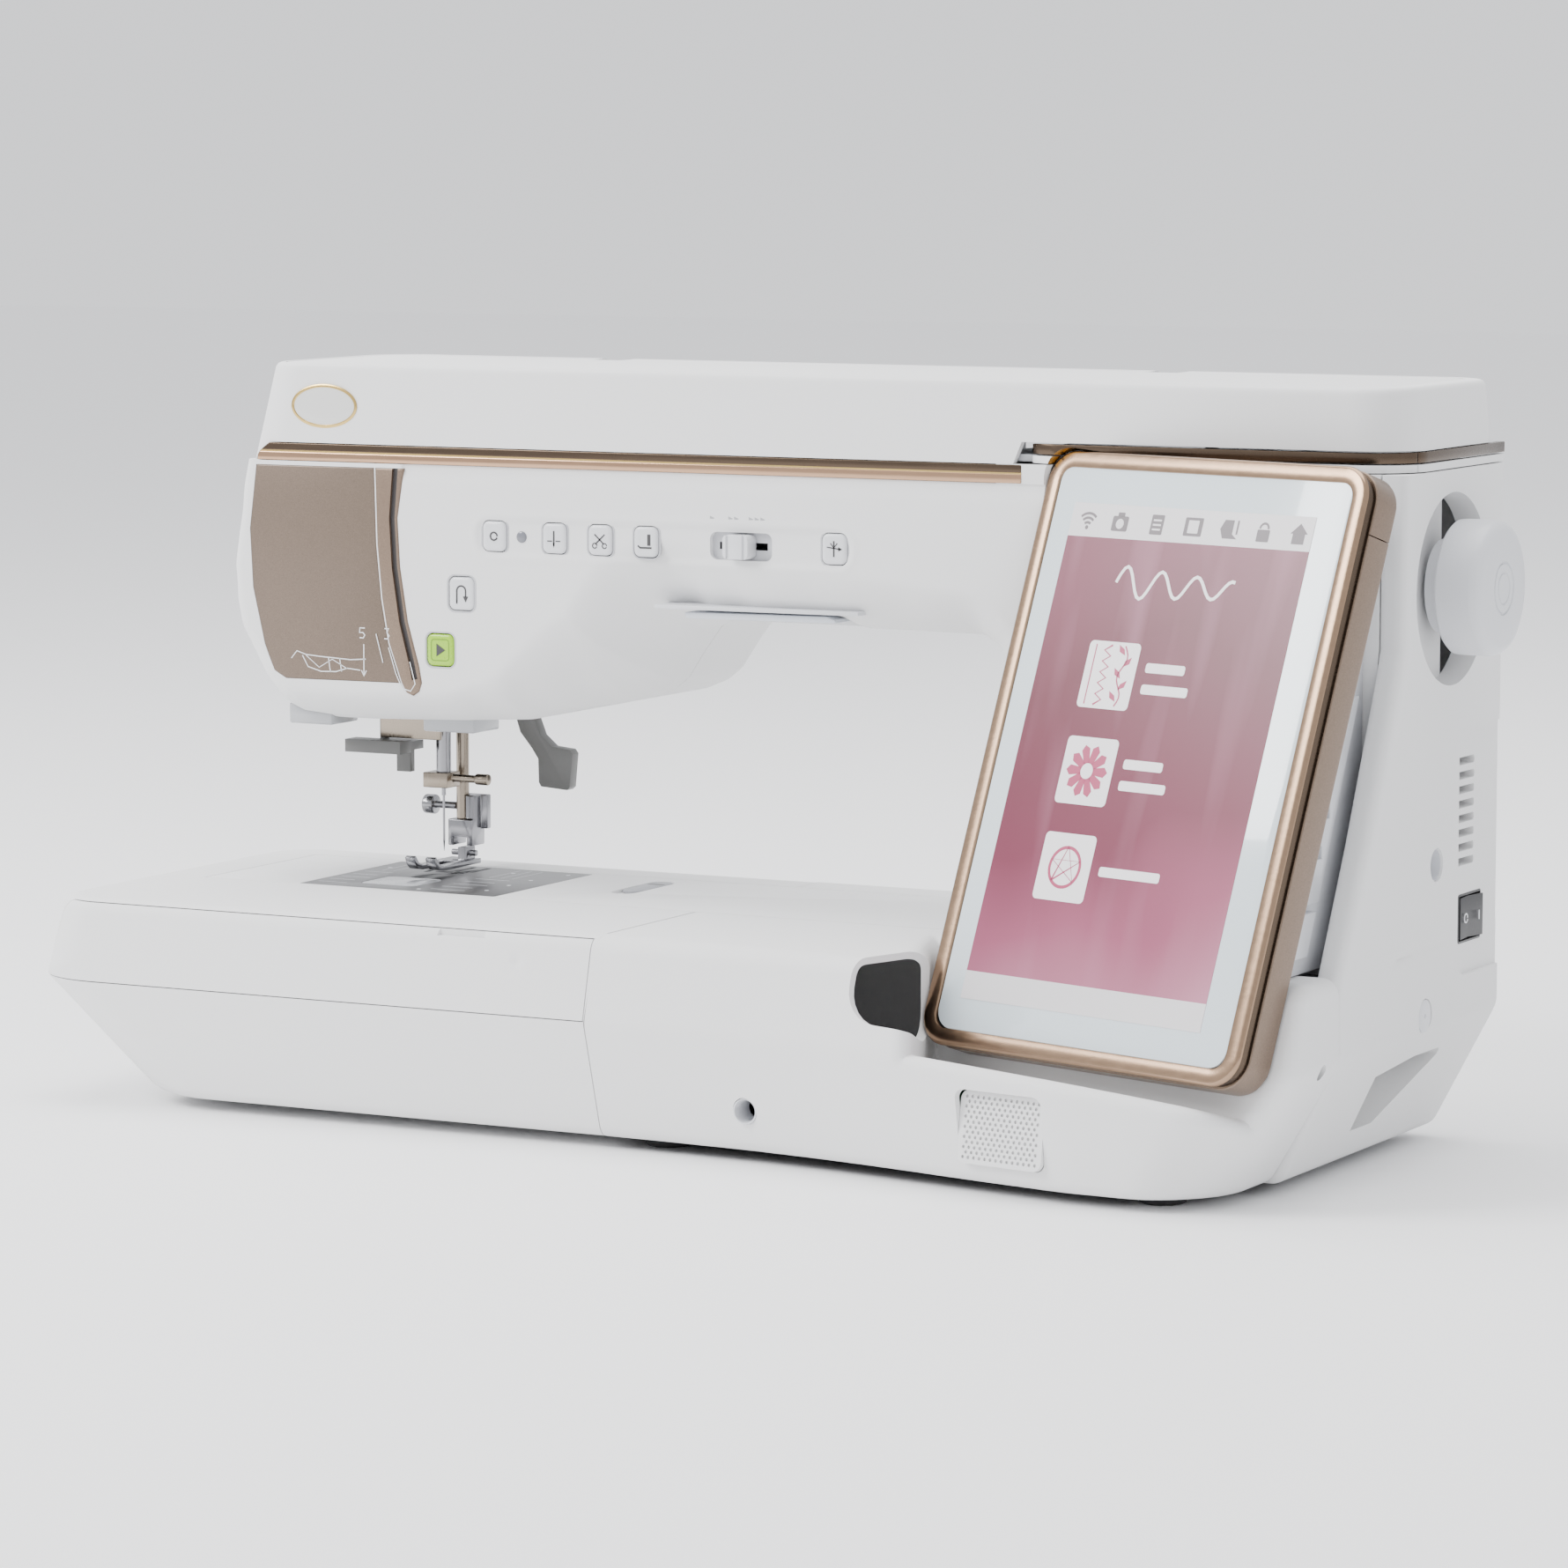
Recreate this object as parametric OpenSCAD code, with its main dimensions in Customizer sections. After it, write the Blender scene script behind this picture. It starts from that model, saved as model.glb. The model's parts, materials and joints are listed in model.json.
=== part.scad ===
// Computerised sewing and embroidery machine with a tall touch screen.
// Frame: X along the machine, bed end to handwheel; Y front to back; Z up.
// Origin: middle of the footprint, on the table under the feet.

/* [Overall] */
// Length from the bed's left end to the handwheel face
machine_l = 648; // [646:1:652]
// Depth from the bulge under the screen to the rear crease
machine_d = 250; // [250:1:252]
// Height to the top of the lid
machine_h = 331; // [330:0.5:333]
// Height of the rubber feet
foot_h = 5; // [4:0.5:5]

/* [Bed] */
// Height of the sewing surface
bed_top = 93; // [92.8:0.1:93.2]
// Height of the crease around the bed
crease_z = 56; // [54:1:58]
// X of the seam where the flat-bed case slides off
seam_x = -31.3; // [-32:0.1:-31]
// Plan corner radius of the bed's left end
bed_corner_r = 28; // [20:1:32]

/* [Arm] */
// Front face of the arm
arm_front = 8; // [7.5:0.1:8]
// Rear face of the arm and column
arm_rear = 123; // [122.5:0.1:123]
// Y of the seam between the front and rear casings
casing_seam = 66; // [65:0.1:66]
// Right side face of the column
side_x = 301; // [300.5:0.1:301]
// Wall thickness of the moulded casings
wall = 3; // [2.5:0.1:3.2]

/* [Screen] */
// Turn of the screen toward the needle, degrees
screen_yaw = 18.23; // [18:0.01:18.5]
// Tilt of the screen back from upright, degrees
screen_tilt = 18.53; // [18:0.01:19]
// Thickness of the bezel
bezel_t = 20; // [18:0.5:20]

/* [Drive] */
// Height of the main shaft
shaft_z = 245.4; // [245:0.1:246]
// Depth position of the main shaft
shaft_y = 62; // [61.5:0.1:62.5]
// Radius of the handwheel
wheel_r = 28.8; // [27:0.1:29]
// X of the needle bar
needle_x = -201.3; // [-201.5:0.1:-201]
// Y of the needle bar
needle_y = 68; // [67.8:0.1:68.2]
// Y of the presser bar
presser_y = 83; // [82.8:0.1:83.2]

/* [Hidden] */
$fn = 48;

half_l = machine_l / 2;
half_d = machine_d / 2;
rear_y = half_d;
fit = 0.3;
arm_under = 219;
arm_top = 286.5;
column_x = 114;
column_top = 295;
step_x = 112;
lid_rear_z = 302;
side_in = side_x - 11.3;
corner_in = 261.7;
corner_y = -58.3;
free_y0 = 0.3;
free_y1 = 95.7;
free_x0 = -289;
door_gap = 0.5;
door_hinge = [-95.6, 58.9];
screen_c = [207, -52, 177];
lower_z = 45;
belt_x = 225;
motor_y = 50;
motor_z = 130;
hook_y = 44;
panel_z = [247.5, 262.7];
pivot_y = 84;
pivot_z = 99.6;
hinge = [120.5, 298.5];
hinge_x = [-200, 200];
handle_x = [-137, 144];
handle_pivot = [117, 295];
trim_z = [286.6, 294.4];
side_trim_z = [295.3, 304];
knee_hole = [44.2, 23.4];
grille_c = [175, -113.1, 29];

// ---- helpers --------------------------------------------------------------
function unit(v) = v / norm(v);
function left_of(v) = [-v.y, v.x];
// Polygon moved inward by d; the points run anticlockwise
function inset(p, d) = [for (i = [0 : len(p) - 1])
    let (n = len(p), u = left_of(unit(p[i] - p[(i + n - 1) % n])),
        v = left_of(unit(p[(i + 1) % n] - p[i])))
    p[i] + d * (u + v) / (1 + u * v)];
function arc(c, r, a0, a1, n) = [for (i = [0 : n])
    let (a = a0 + (a1 - a0) * i / n) c + r * [cos(a), sin(a)]];

module box(x0, x1, y0, y1, z0, z1) {
    translate([x0, y0, z0]) cube([x1 - x0, y1 - y0, z1 - z0]);
}
module xy(z0, z1) { translate([0, 0, z0]) linear_extrude(z1 - z0) children(); }
module xz(y0, y1) { translate([0, y1, 0]) rotate([90, 0, 0]) linear_extrude(y1 - y0) children(); }
module yz(x0, x1) { translate([x0, 0, 0]) rotate([90, 0, 90]) linear_extrude(x1 - x0) children(); }
module rod_x(x0, x1, y, z, r) { translate([x0, y, z]) rotate([0, 90, 0]) cylinder(h = x1 - x0, r = r); }
module rod_y(y0, y1, x, z, r) { translate([x, y1, z]) rotate([90, 0, 0]) cylinder(h = y1 - y0, r = r); }
module rod_z(z0, z1, x, y, r) { translate([x, y, z0]) cylinder(h = z1 - z0, r = r); }
module rrect(x0, y0, x1, y1, r) {
    translate([x0 + r, y0]) square([x1 - x0 - 2 * r, y1 - y0]);
    translate([x0, y0 + r]) square([x1 - x0, y1 - y0 - 2 * r]);
    for (x = [x0 + r, x1 - r], y = [y0 + r, y1 - r]) translate([x, y]) circle(r);
}
module at_screen() {
    translate(screen_c) rotate([90 - screen_tilt, 0, -screen_yaw]) children();
}
// Room kept clear for the screen, from a plane behind its bezel forward
module screen_room(z0) {
    at_screen() translate([-91.5, -139, z0]) cube([211.5, 330, 240]);
}

// ---- bed ------------------------------------------------------------------
bed_yz = [[-86, foot_h], [118, foot_h], [rear_y, crease_z], [121, bed_top],
    [-88, bed_top], [-97, crease_z]];
bed_xz = [[-272, foot_h], [60, foot_h], [60, bed_top], [-half_l + 5, bed_top],
    [-half_l, crease_z]];
module bed_body(t) {
    intersection() {
        yz(-half_l, 60) polygon(inset(bed_yz, t));
        xz(-half_d, half_d) polygon(inset(bed_xz, t));
        xy(0, bed_top) rrect(-half_l + t, -97 + t, 100, rear_y - t, bed_corner_r);
    }
}
module door_zone(g) {
    box(-half_l - 1, seam_x - 0.4 - door_gap + g, -99, -82 + g, crease_z + 2.2 - 3 * g,
        bed_top - 1.5 + g);
}
module accessory_case() {
    color("white") difference() {
        intersection() {
            bed_body(0);
            box(-half_l, seam_x, -half_d, rear_y, 0, bed_top);
        }
        difference() {
            intersection() {
                bed_body(wall);
                box(-half_l, seam_x - wall, -half_d, rear_y, 0, bed_top);
            }
            box(free_x0 - 4.5, 0, free_y0 - 4.5, free_y1 + 4.5, 0, bed_top + 1);
        }
        box(free_x0 - 1, 0, free_y0 - 1, free_y1 + 1, 0, bed_top + 1);
        intersection() {
            difference() {
                bed_body(-1);
                bed_body(wall + 0.4);
            }
            door_zone(door_gap);
        }
    }
}
module accessory_door() {
    color("white") intersection() {
        difference() {
            bed_body(0);
            bed_body(wall - 0.2);
        }
        door_zone(0);
    }
    color("white") for (x = [-280, -60]) rod_x(x, x + 16, door_hinge.x, door_hinge.y, 0.8);
}
module free_arm_cover() {
    color("white") difference() {
        box(free_x0, column_x - 0.5, free_y0, free_y1, 8.3, bed_top);
        box(free_x0 + wall, column_x, free_y0 + wall, free_y1 - wall, 8, bed_top - wall);
        box(-239.6, -135.8, 2.6, 92.9, bed_top - wall - 1, bed_top + 1);
        xy(bed_top - 1.5, bed_top + 1) rrect(-98, 39, -86, 85, 5.9);
        box(-94, -90, 50, 74, bed_top - wall - 1, bed_top);
    }
    color("white") for (x = [-239.6, -139.8]) box(x, x + 4, 3.6, 91.9, 84, 88.5);
}
module needle_plate() {
    color("silver") difference() {
        box(-239.3, -136.1, 2.9, 92.6, 90.6, bed_top);
        xy(89, bed_top + 1) rrect(-216.3, 16.2, -186.2, 43.8, 4);
        xy(89, bed_top + 1) rrect(needle_x - 4.5, needle_y - 1.4, needle_x + 4.5, needle_y + 1.4, 1.3);
        for (x = [-214, -206, -198.6, -190.6])
            xy(89, bed_top + 1) rrect(x, 71.5, x + 2.6, 89.5, 1.2);
        for (x = [-211, -193]) xy(89, bed_top + 1) rrect(x, 64.3, x + 2.6, 72.2, 1.2);
    }
}
module bobbin_cover() {
    color("gainsboro") xy(91.4, bed_top) rrect(-216, 16.5, -186.5, 43.5, 3.7);
}
module plate_release_slider() {
    color("gray") union() {
        xy(bed_top - 1.4, bed_top) rrect(-97.4, 49, -86.6, 84.4, 5.3);
        box(-93.5, -90.5, 58, 73.5, bed_top - 5, bed_top - 1.4);
    }
}
module feed_dogs() {
    color("silver") union() {
        for (x = [-213.6, -205.6, -198.2, -190.2]) box(x, x + 1.8, 74.5, 86.5, 86, bed_top - 0.4);
        for (x = [-210.6, -192.6]) box(x, x + 1.8, 67, 69.5, 86, bed_top - 0.4);
        box(-213.6, -188.4, 74.5, 86.5, 83, 86);
        for (x = [-210.6, -192.6]) box(x, x + 1.8, 67, 74.5, 83, 86);
    }
}
module rotary_hook() {
    color("silver") union() {
        difference() {
            rod_z(66, 86, needle_x, hook_y, 20);
            rod_z(68, 87, needle_x, hook_y, 18.6);
        }
        rod_z(30, 66, needle_x, hook_y, 4);
        rod_z(36, 50, needle_x, hook_y, 11);
    }
}
module bobbin_case() {
    color("dimgray") union() {
        difference() {
            rod_z(68.5, 86.5, needle_x, hook_y, 18);
            rod_z(70.5, 87, needle_x, hook_y, 16);
        }
        rod_z(70.5, 82, needle_x, hook_y, 3);
    }
    color("gainsboro") difference() {
        union() {
            for (z = [71, 81.5]) rod_z(z, z + 1.2, needle_x, hook_y, 10.2);
            rod_z(71, 82.7, needle_x, hook_y, 5);
        }
        rod_z(70, 84, needle_x, hook_y, 3.3);
    }
}

// ---- base under the screen and column --------------------------------------
// Plan outline at the crease, anticlockwise
base_plan = concat([[seam_x + 0.6, -97], [43, -100], [112, -110], [204, -123.6]],
    arc([262, -85], 40, -90, -4, 5), [[side_x, -60], [side_x, 7.6], [column_x + 0.2, 7.6],
    [column_x + 0.2, -0.5], [seam_x + 0.6, -0.5]]);
// Leaning front wall, drawn from the crease outward edge at Y 0
front_lean = [[16.4, -20], [180, -20], [180, 120], [14.7, 120], [0, crease_z]];
corner_lean = [[35.8, -20], [400, -20], [400, 120], [3.46, 120], [0, crease_z]];
side_lean = [[seam_x, -20], [254.8, -20], [side_x, crease_z], [side_x - 1, bed_top],
    [seam_x, bed_top]];
module base_front(t) {
    intersection() {
        xy(foot_h - t, bed_top - t) polygon(inset(base_plan, t));
        xz(-half_d, 10) polygon(inset(side_lean, t));
        translate([285, -112, 0]) rotate(45) yz(-300, 300)
            polygon(inset(corner_lean, t));
        union() {
            intersection() {
                box(seam_x - 5, 46, -half_d, 10, -5, bed_top + 5);
                translate([0, -98.3, 0]) rotate(-2.3) yz(-60, 90) polygon(inset(front_lean, t));
            }
            translate([112, -110, 0]) rotate(-8.4) yz(-260, 250) polygon(inset(front_lean, t));
        }
    }
}
module bed_front_cover() {
    color("white") difference() {
        base_front(0);
        difference() {
            base_front(wall);
            screen_room(-bezel_t - 5 - wall);
            rod_y(-110, -60, knee_hole.x, knee_hole.y, 9);
        }
        screen_room(-bezel_t - 5);
        box(corner_in, 400, corner_y, 20, 0, 400);
        rod_y(-110, -50, knee_hole.x, knee_hole.y, 6.8);
        translate(grille_c) rotate([81, 0, -9.9]) translate([0, 0, -3])
            linear_extrude(20) rrect(-21.6, -15.6, 21.6, 15.6, 4.3);
        rod_x(270, 320, -72, 56.2, 3.2);
        box(-27.4, corner_in, -4.2, 8, 0, foot_h + 3.4);
    }
}
module speaker_grille() {
    color("gray") translate(grille_c) rotate([81, 0, -9.9]) difference() {
        translate([0, 0, -2.4]) linear_extrude(2) rrect(-21.2, -15.2, 21.2, 15.2, 4);
        for (i = [-4 : 4], j = [-3 : 3])
            translate([4.2 * i, 3.8 * j, -4]) cylinder(h = 8, r = 0.9, $fn = 16);
    }
}
module knee_lift_socket() {
    color("black") difference() {
        rod_y(-88, -52, knee_hole.x, knee_hole.y, 6.4);
        rod_y(-89, -64, knee_hole.x, knee_hole.y, 5.2);
    }
}
rear_low = [[96.3, foot_h], [118, foot_h], [rear_y, crease_z], [121, bed_top], [96.3, bed_top]];
module rear_cover() {
    color("white") difference() {
        union() {
            xz(casing_seam + fit, arm_rear) polygon(concat(arm_profile, [[column_x, bed_top - 6],
                [corner_in - 0.4, bed_top - 6], [corner_in - 0.4, bed_top + 0.3],
                [side_in - 0.3, bed_top + 0.3], [side_in - 0.3, arm_top]]));
            box(step_x, side_in - 0.3, casing_seam + fit, arm_rear, arm_top - 6, column_top);
            box(-262, step_x, 118.5, arm_rear, arm_top - 6, column_top);
            yz(seam_x + 0.6, corner_in - 0.4) polygon(rear_low);
        }
        xz(casing_seam - 1, arm_rear - wall) polygon(inset(concat(arm_profile,
            [[column_x, bed_top - 9], [side_in - 0.3, bed_top - 9], [side_in - 0.3, arm_top]]), wall));
        box(column_x + wall, side_in - 0.3 - wall, casing_seam - 1, arm_rear - wall,
            bed_top - 12, column_top + 1);
        box(-250, column_x + 10, casing_seam - 1, 117.5, arm_top - 6, column_top + 1);
        box(-265, side_in - 4, casing_seam - 1, 118.4, arm_top - 3.6, column_top + 1);
        yz(seam_x + 0.6 + wall, corner_in - 0.4 - wall) polygon(concat(
            [[90, foot_h + wall], [115, foot_h + wall]],
            [[rear_y - wall - 0.2, crease_z], [118.2, bed_top - wall], [90, bed_top - wall]]));
        box(handle_x[0] - 17, handle_x[1] + 17, 111, 140, 238, 290);
        for (x = handle_x) box(x - 11.5, x + 11.5, 111, 140, 238, column_top + 6);
        free_arm_room();
        box(needle_x + 13, -148, 94, 106, 160, 180);
        box(-247, -180.5, casing_seam - 1, 91, 160, 180);
        rod_x(side_in - 5, side_in, shaft_y, shaft_z, 7);
    }
    color("white") box(handle_x[0] - 20, handle_x[1] + 20, 107.5, 110.6, 235, arm_top);
    color("white") box(handle_x[0] - 20, handle_x[1] + 20, 110.6, arm_rear - wall, 235, 237.6);
}
// Clears the corner where the free arm enters the column
module free_arm_room() {
    box(column_x - 30, column_x + wall + 0.2, casing_seam - 1, 96.2, bed_top - 20, bed_top + 0.3);
    box(column_x - 1, side_in, casing_seam - 1, 96.2, bed_top - 20, bed_top - 0.2);
}

// ---- head, arm and column ---------------------------------------------------
// Outline of head, arm and column seen from the front, anticlockwise
arm_profile = concat([[-272, arm_top], [-276, 270], [-279, 254], [-281.5, 238], [-281, 222],
    [-278.5, 209], [-274, 198], [-268, 187], [-261, 178], [-255, 172], [-247, 169.3],
    [-232, 168], [-213.5, 168], [-132, 171], [-111, 176], [-88, 180], [-77, 184.5]],
    [[-70, 190], [-62, 202], [-53, 214], [-46, 218], [-38, arm_under]],
    arc([94, arm_under - 20], 20, 90, 0, 5), [[column_x, bed_top + 0.3]]);
front_profile = concat(arm_profile, [[side_in - 0.3, bed_top + 0.3], [side_in - 0.3, arm_top]]);
face_pts = [[-264.2, 284.5], [-268, 255], [-266.6, 228], [-260.5, 202], [-255.5, 190],
    [-249, 186.6], [-187.4, 187], [-194, 205], [-197.6, 225], [-200, 250], [-200.9, 284.5]];
channel_pts = concat([[-200.3, 284.5], [-199.4, 250], [-197, 225], [-193.4, 205], [-187, 187.4]],
    arc([-181.4, 186.8], 5.5, 200, 340, 4), [[-177.6, 195], [-183.4, 215], [-187.4, 240],
    [-188.6, 262], [-185, 284.5]]);
button_x = [-137.9, -106.8, -83.3, -60, 34];
slider_x = -12.6;
slider_z = 255;
module button_hole(x, z, w, h) {
    xz(0, 30) rrect(x - w / 2 - 0.4, z - h / 2 - 0.4, x + w / 2 + 0.4, z + h / 2 + 0.4, 3.4);
}
module arm_front_cover() {
    color("white") difference() {
        union() {
            xz(arm_front, casing_seam) polygon(front_profile);
            box(step_x, side_in - 0.3, arm_front, casing_seam, arm_top - 6, column_top);
        }
        xz(arm_front + wall, casing_seam + 1) polygon(inset(concat(arm_profile,
            [[side_in - 0.3, 70], [side_in - 0.3, arm_top]]), wall));
        box(column_x + wall, side_in - 0.3 - wall, arm_front + wall, casing_seam + 1, 70, column_top + 1);
        box(-265, side_in - 4, 13.2, casing_seam + 1, arm_top - 3.6, column_top + 1);
        xz(0, arm_front + 1.6) polygon(inset(face_pts, -0.4));
        xz(0, arm_front + 1.6) polygon(inset(channel_pts, -0.4));
        xz(0, arm_front + 0.8) rrect(-147, panel_z[0], 42, panel_z[1], 5);
        for (x = button_x) button_hole(x, 255.5, 12, 13.5);
        button_hole(-155.1, 229, 13, 15);
        button_hole(-166.4, 203, 14, 14.5);
        xz(0, 12) rrect(slider_x - 15, slider_z - 6, slider_x + 15, slider_z + 6, 3);
        box(-247, -180.5, 54.6, casing_seam + 1, 160, 180);
        rod_x(side_in - 5, side_in, shaft_y, shaft_z, 7);
        screen_room(-bezel_t - 0.6);
        box(-256, -232, 20, 44, 160, 175);
        box(-190, -162, 30, 54, 160, 175);
    }
    color("white") difference() {
        box(slider_x - 18, slider_x + 18, 12.3, 14.3, slider_z - 9, slider_z + 9);
        box(slider_x - 12, slider_x + 12, 12, 15, slider_z - 1.6, slider_z + 1.6);
    }
}
module side_cover() {
    color("white") difference() {
        union() {
            yz(side_in, side_x) polygon([[8, bed_top - 0.3], [arm_rear, bed_top - 0.3],
                [arm_rear, column_top], [30, column_top], [arm_front + 0.5, column_top],
                [arm_front + 0.5, 222], [4, 210], [corner_y + 0.4, 87], [corner_y + 0.4, bed_top - 7]]);
            intersection() {
                xz(corner_y + 0.4, arm_rear + 0.2) polygon([[corner_in, foot_h], [277, foot_h],
                    [side_x, 60], [side_x, bed_top], [corner_in, bed_top]]);
                yz(corner_in, side_x) polygon([[corner_y + 0.4, foot_h], [112, foot_h],
                    [arm_rear, crease_z], [arm_rear, bed_top], [-20, bed_top], [-64, 84]]);
            }
        }
        intersection() {
            xz(corner_y + 0.4 + wall, arm_rear - wall) polygon([[corner_in - 1, foot_h + wall],
                [275.5, foot_h + wall], [side_x - wall, 61], [side_x - wall, bed_top - wall],
                [corner_in - 1, bed_top - wall]]);
            yz(corner_in - 1, side_x) polygon([[corner_y + wall, foot_h + wall], [109, foot_h + wall],
                [arm_rear - wall, crease_z], [arm_rear - wall, bed_top - wall],
                [-22, bed_top - wall], [-50, 80]]);
        }
        rod_x(side_x - 7, side_x + 1, shaft_y, shaft_z, 41);
        rod_x(side_in - 1, side_x, shaft_y, shaft_z, 7);
        for (i = [0 : 7]) box(side_in - 1, side_x + 1, 75, 95, 124 + 6.2 * i, 127.4 + 6.2 * i);
        box(side_x - 2.5, side_x + 1, 72, arm_rear + 1, 77, 184);
        box(side_in - 1, side_x + 1, 78, 104, 90.5, 111.5);
        rod_x(side_x - 8, side_x + 1, 47.2, 128.2, 7.2);
        rod_x(side_x - 1.2, side_x + 1, 36.3, 65, 7.4);
        inlet_scoop();
        screen_room(-bezel_t - 5);
    }
    color("white") rod_x(side_x - 1.1, side_x - 0.2, 36.3, 65, 7);
    color("white") difference() {
        inlet_scoop_wall();
        inlet_scoop();
        box(corner_in, 290, -2, 3, 15, 45);
    }
}
// Hollow behind the power inlet, open to the side and to the rear
module inlet_scoop() {
    yz(268, side_x + 1) polygon([[1, 19], [24, 19], [75, 47], [40, 47], [1, 44]]);
}
module inlet_scoop_wall() {
    intersection() {
        yz(265.5, side_x) polygon([[-2, 16], [26, 16], [81, 48], [78, 50], [40, 50], [-2, 47]]);
        xz(-30, 100) polygon([[corner_in, 12], [277.8, 12], [296, 50], [corner_in, 50]]);
    }
}
module power_inlet() {
    color("black") difference() {
        box(265.4, 279.4, -24, 0.7, 19.4, 43.6);
        box(267.4, 277.6, -14, 1, 23, 40);
    }
    color("silver") for (z = [27, 31.5, 36]) box(271.8, 273.3, -13.8, -3, z - 1, z + 1);
}
module power_rocker() {
    color("black") union() {
        xy(92, 110) polygon([[side_x - 4, 79.5], [side_x - 1.6, 79.5], [side_x - 2.8, 91],
            [side_x - 0.4, 102.5], [side_x - 4, 102.5], [side_x - 7, 91]]);
        rod_z(91, 111, side_x - 4.5, 91, 1.2);
    }
}
module trim_strips() {
    color("saddlebrown") difference() {
        xz(arm_front, 13) polygon([[-263.5, trim_z[0]], [step_x - 0.6, trim_z[0]],
            [step_x - 0.6, trim_z[1]], [-257.4, trim_z[1]]]);
        screen_room(-bezel_t - 0.6);
    }
    color("saddlebrown") difference() {
        xy(side_trim_z[0], side_trim_z[1]) difference() {
            rrect(116, arm_front, side_x, 200, 25);
            rrect(110, arm_front + 4, side_x - 4, 200, 21);
            translate([0, 121]) square([400, 100]);
            translate([100, 40]) square([100, 100]);
        }
        screen_room(-bezel_t - 0.6);
    }
}
module face_plate() { color("rosybrown") xz(arm_front - 0.2, arm_front + 1.4) polygon(face_pts); }
module thread_channel_cover() {
    color("rosybrown") xz(arm_front - 0.6, arm_front + 1.4) polygon(channel_pts);
}
module work_lamps() {
    color("lightgray") {
        box(-255.6, -232.4, 20.4, 43.6, 164.5, 174);
        box(-189.6, -162.4, 30.4, 53.6, 163, 174);
    }
}
module thread_guide_bracket() {
    color("tan") union() {
        box(-228, -195.5, 55.5, 57.3, 156, 186);
        box(-228, -195.5, 57.3, 63.5, 184.2, 186);
    }
}

// ---- lid -------------------------------------------------------------------
lid_profile = [[-274.8, 287.2], [-264.2, 287.2], [-258, 295], [step_x - 2, 295], [step_x + 1, 304.6],
    [side_x - 0.5, 304.6], [296.6, machine_h - 1], [294, machine_h], [-264, machine_h], [-267.5, machine_h - 1]];
module lid_shell() {
    color("white") difference() {
        intersection() {
            xz(arm_front, rear_y) polygon(lid_profile);
            xy(280, machine_h) rrect(-274.8, arm_front, side_x - 0.5, rear_y, 24.5);
        }
        xy(280, machine_h - 5) rrect(-271, arm_front + wall, side_x - 4, rear_y - wall, 21);
        box(-300, 310, 115, 140, 280, lid_rear_z);
        xy(machine_h - 2.2, machine_h + 1) rrect(-258, 12, 288, 118, 18);
        for (x = handle_x) box(x - 8, x + 8, 107.5, 130, 280, machine_h + 1);
        for (x = hinge_x) box(x - 6, x + 6, 118, 130, 290, 310);
    }
    color("white") for (x = hinge_x) difference() {
        union() {
            rod_x(x - 5.7, x + 5.7, hinge.x, hinge.y, 3.2);
            box(x - 5.7, x + 5.7, 118, 123.6, hinge.y, 309.5);
        }
        rod_x(x - 7, x + 7, hinge.x, hinge.y, 1.65);
    }
}
module lid_panel() {
    color("dimgray") difference() {
        xy(machine_h - 2, machine_h) rrect(-257.7, 12.3, 287.7, 117.7, 17.7);
        for (x = handle_x) box(x - 8.3, x + 8.3, 107.2, 130, 280, machine_h + 1);
    }
}
module upper_deck() {
    color("whitesmoke") {
        difference() {
            union() {
                box(-262, 107, 13.5, 117, 287, 290);
                box(104, 107, 13.5, 117, 290, 296);
                box(104, 282, 13.5, 117, 296, 299);
            }
            screen_room(-bezel_t - 0.6);
            for (x = handle_x) box(x - 6.8, x + 6.8, 108, 130, 280, 300);
        }
        for (x = hinge_x, s = [-1, 1]) knuckle_ear(x + 10 * s);
        for (x = handle_x, s = [-1, 1]) difference() {
            box(x + 9 * s - 2, x + 9 * s + 2, 109, 120, 288, 299.5);
            rod_x(x - 12, x + 12, handle_pivot.x, handle_pivot.y, 2.05);
        }
        for (x = [-20, 86]) box(x, x + 5, 58, 82, 290, 302);
        rod_x(-92, -20, 70, 303, 3);
        box(-24, -20, 62, 78, 290, 311);
        box(-230, -150, 20, 28, 290, 296);
    }
    color("silver") {
        for (x = hinge_x) rod_x(x - 13.5, x + 13.5, hinge.x, hinge.y, 1.6);
        for (x = handle_x) rod_x(x - 11, x + 11, handle_pivot.x, handle_pivot.y, 2);
    }
}
module knuckle_ear(x) {
    difference() {
        union() {
            rod_x(x - 4, x + 4, hinge.x, hinge.y, 3.2);
            box(x - 4, x + 4, 108, hinge.x, 296.6, 300.2);
            box(x - 4, x + 4, 108, 114, 288, 300.2);
        }
        rod_x(x - 5, x + 5, hinge.x, hinge.y, 1.64);
    }
}
module bobbin_winder() {
    color("silver") union() {
        rod_z(299.2, 301, 190, 60, 12);
        rod_z(301, 318, 190, 60, 3);
    }
}
module carry_handle() {
    color("white") {
        for (x = handle_x) difference() {
            box(x - 6, x + 6, 112.5, 121.5, 244, 299.5);
            rod_x(x - 7, x + 7, handle_pivot[0], handle_pivot[1], 2.1);
        }
        box(handle_x[0] - 6, handle_x[1] + 6, 112.5, 121.5, 241, 252);
    }
}

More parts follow.
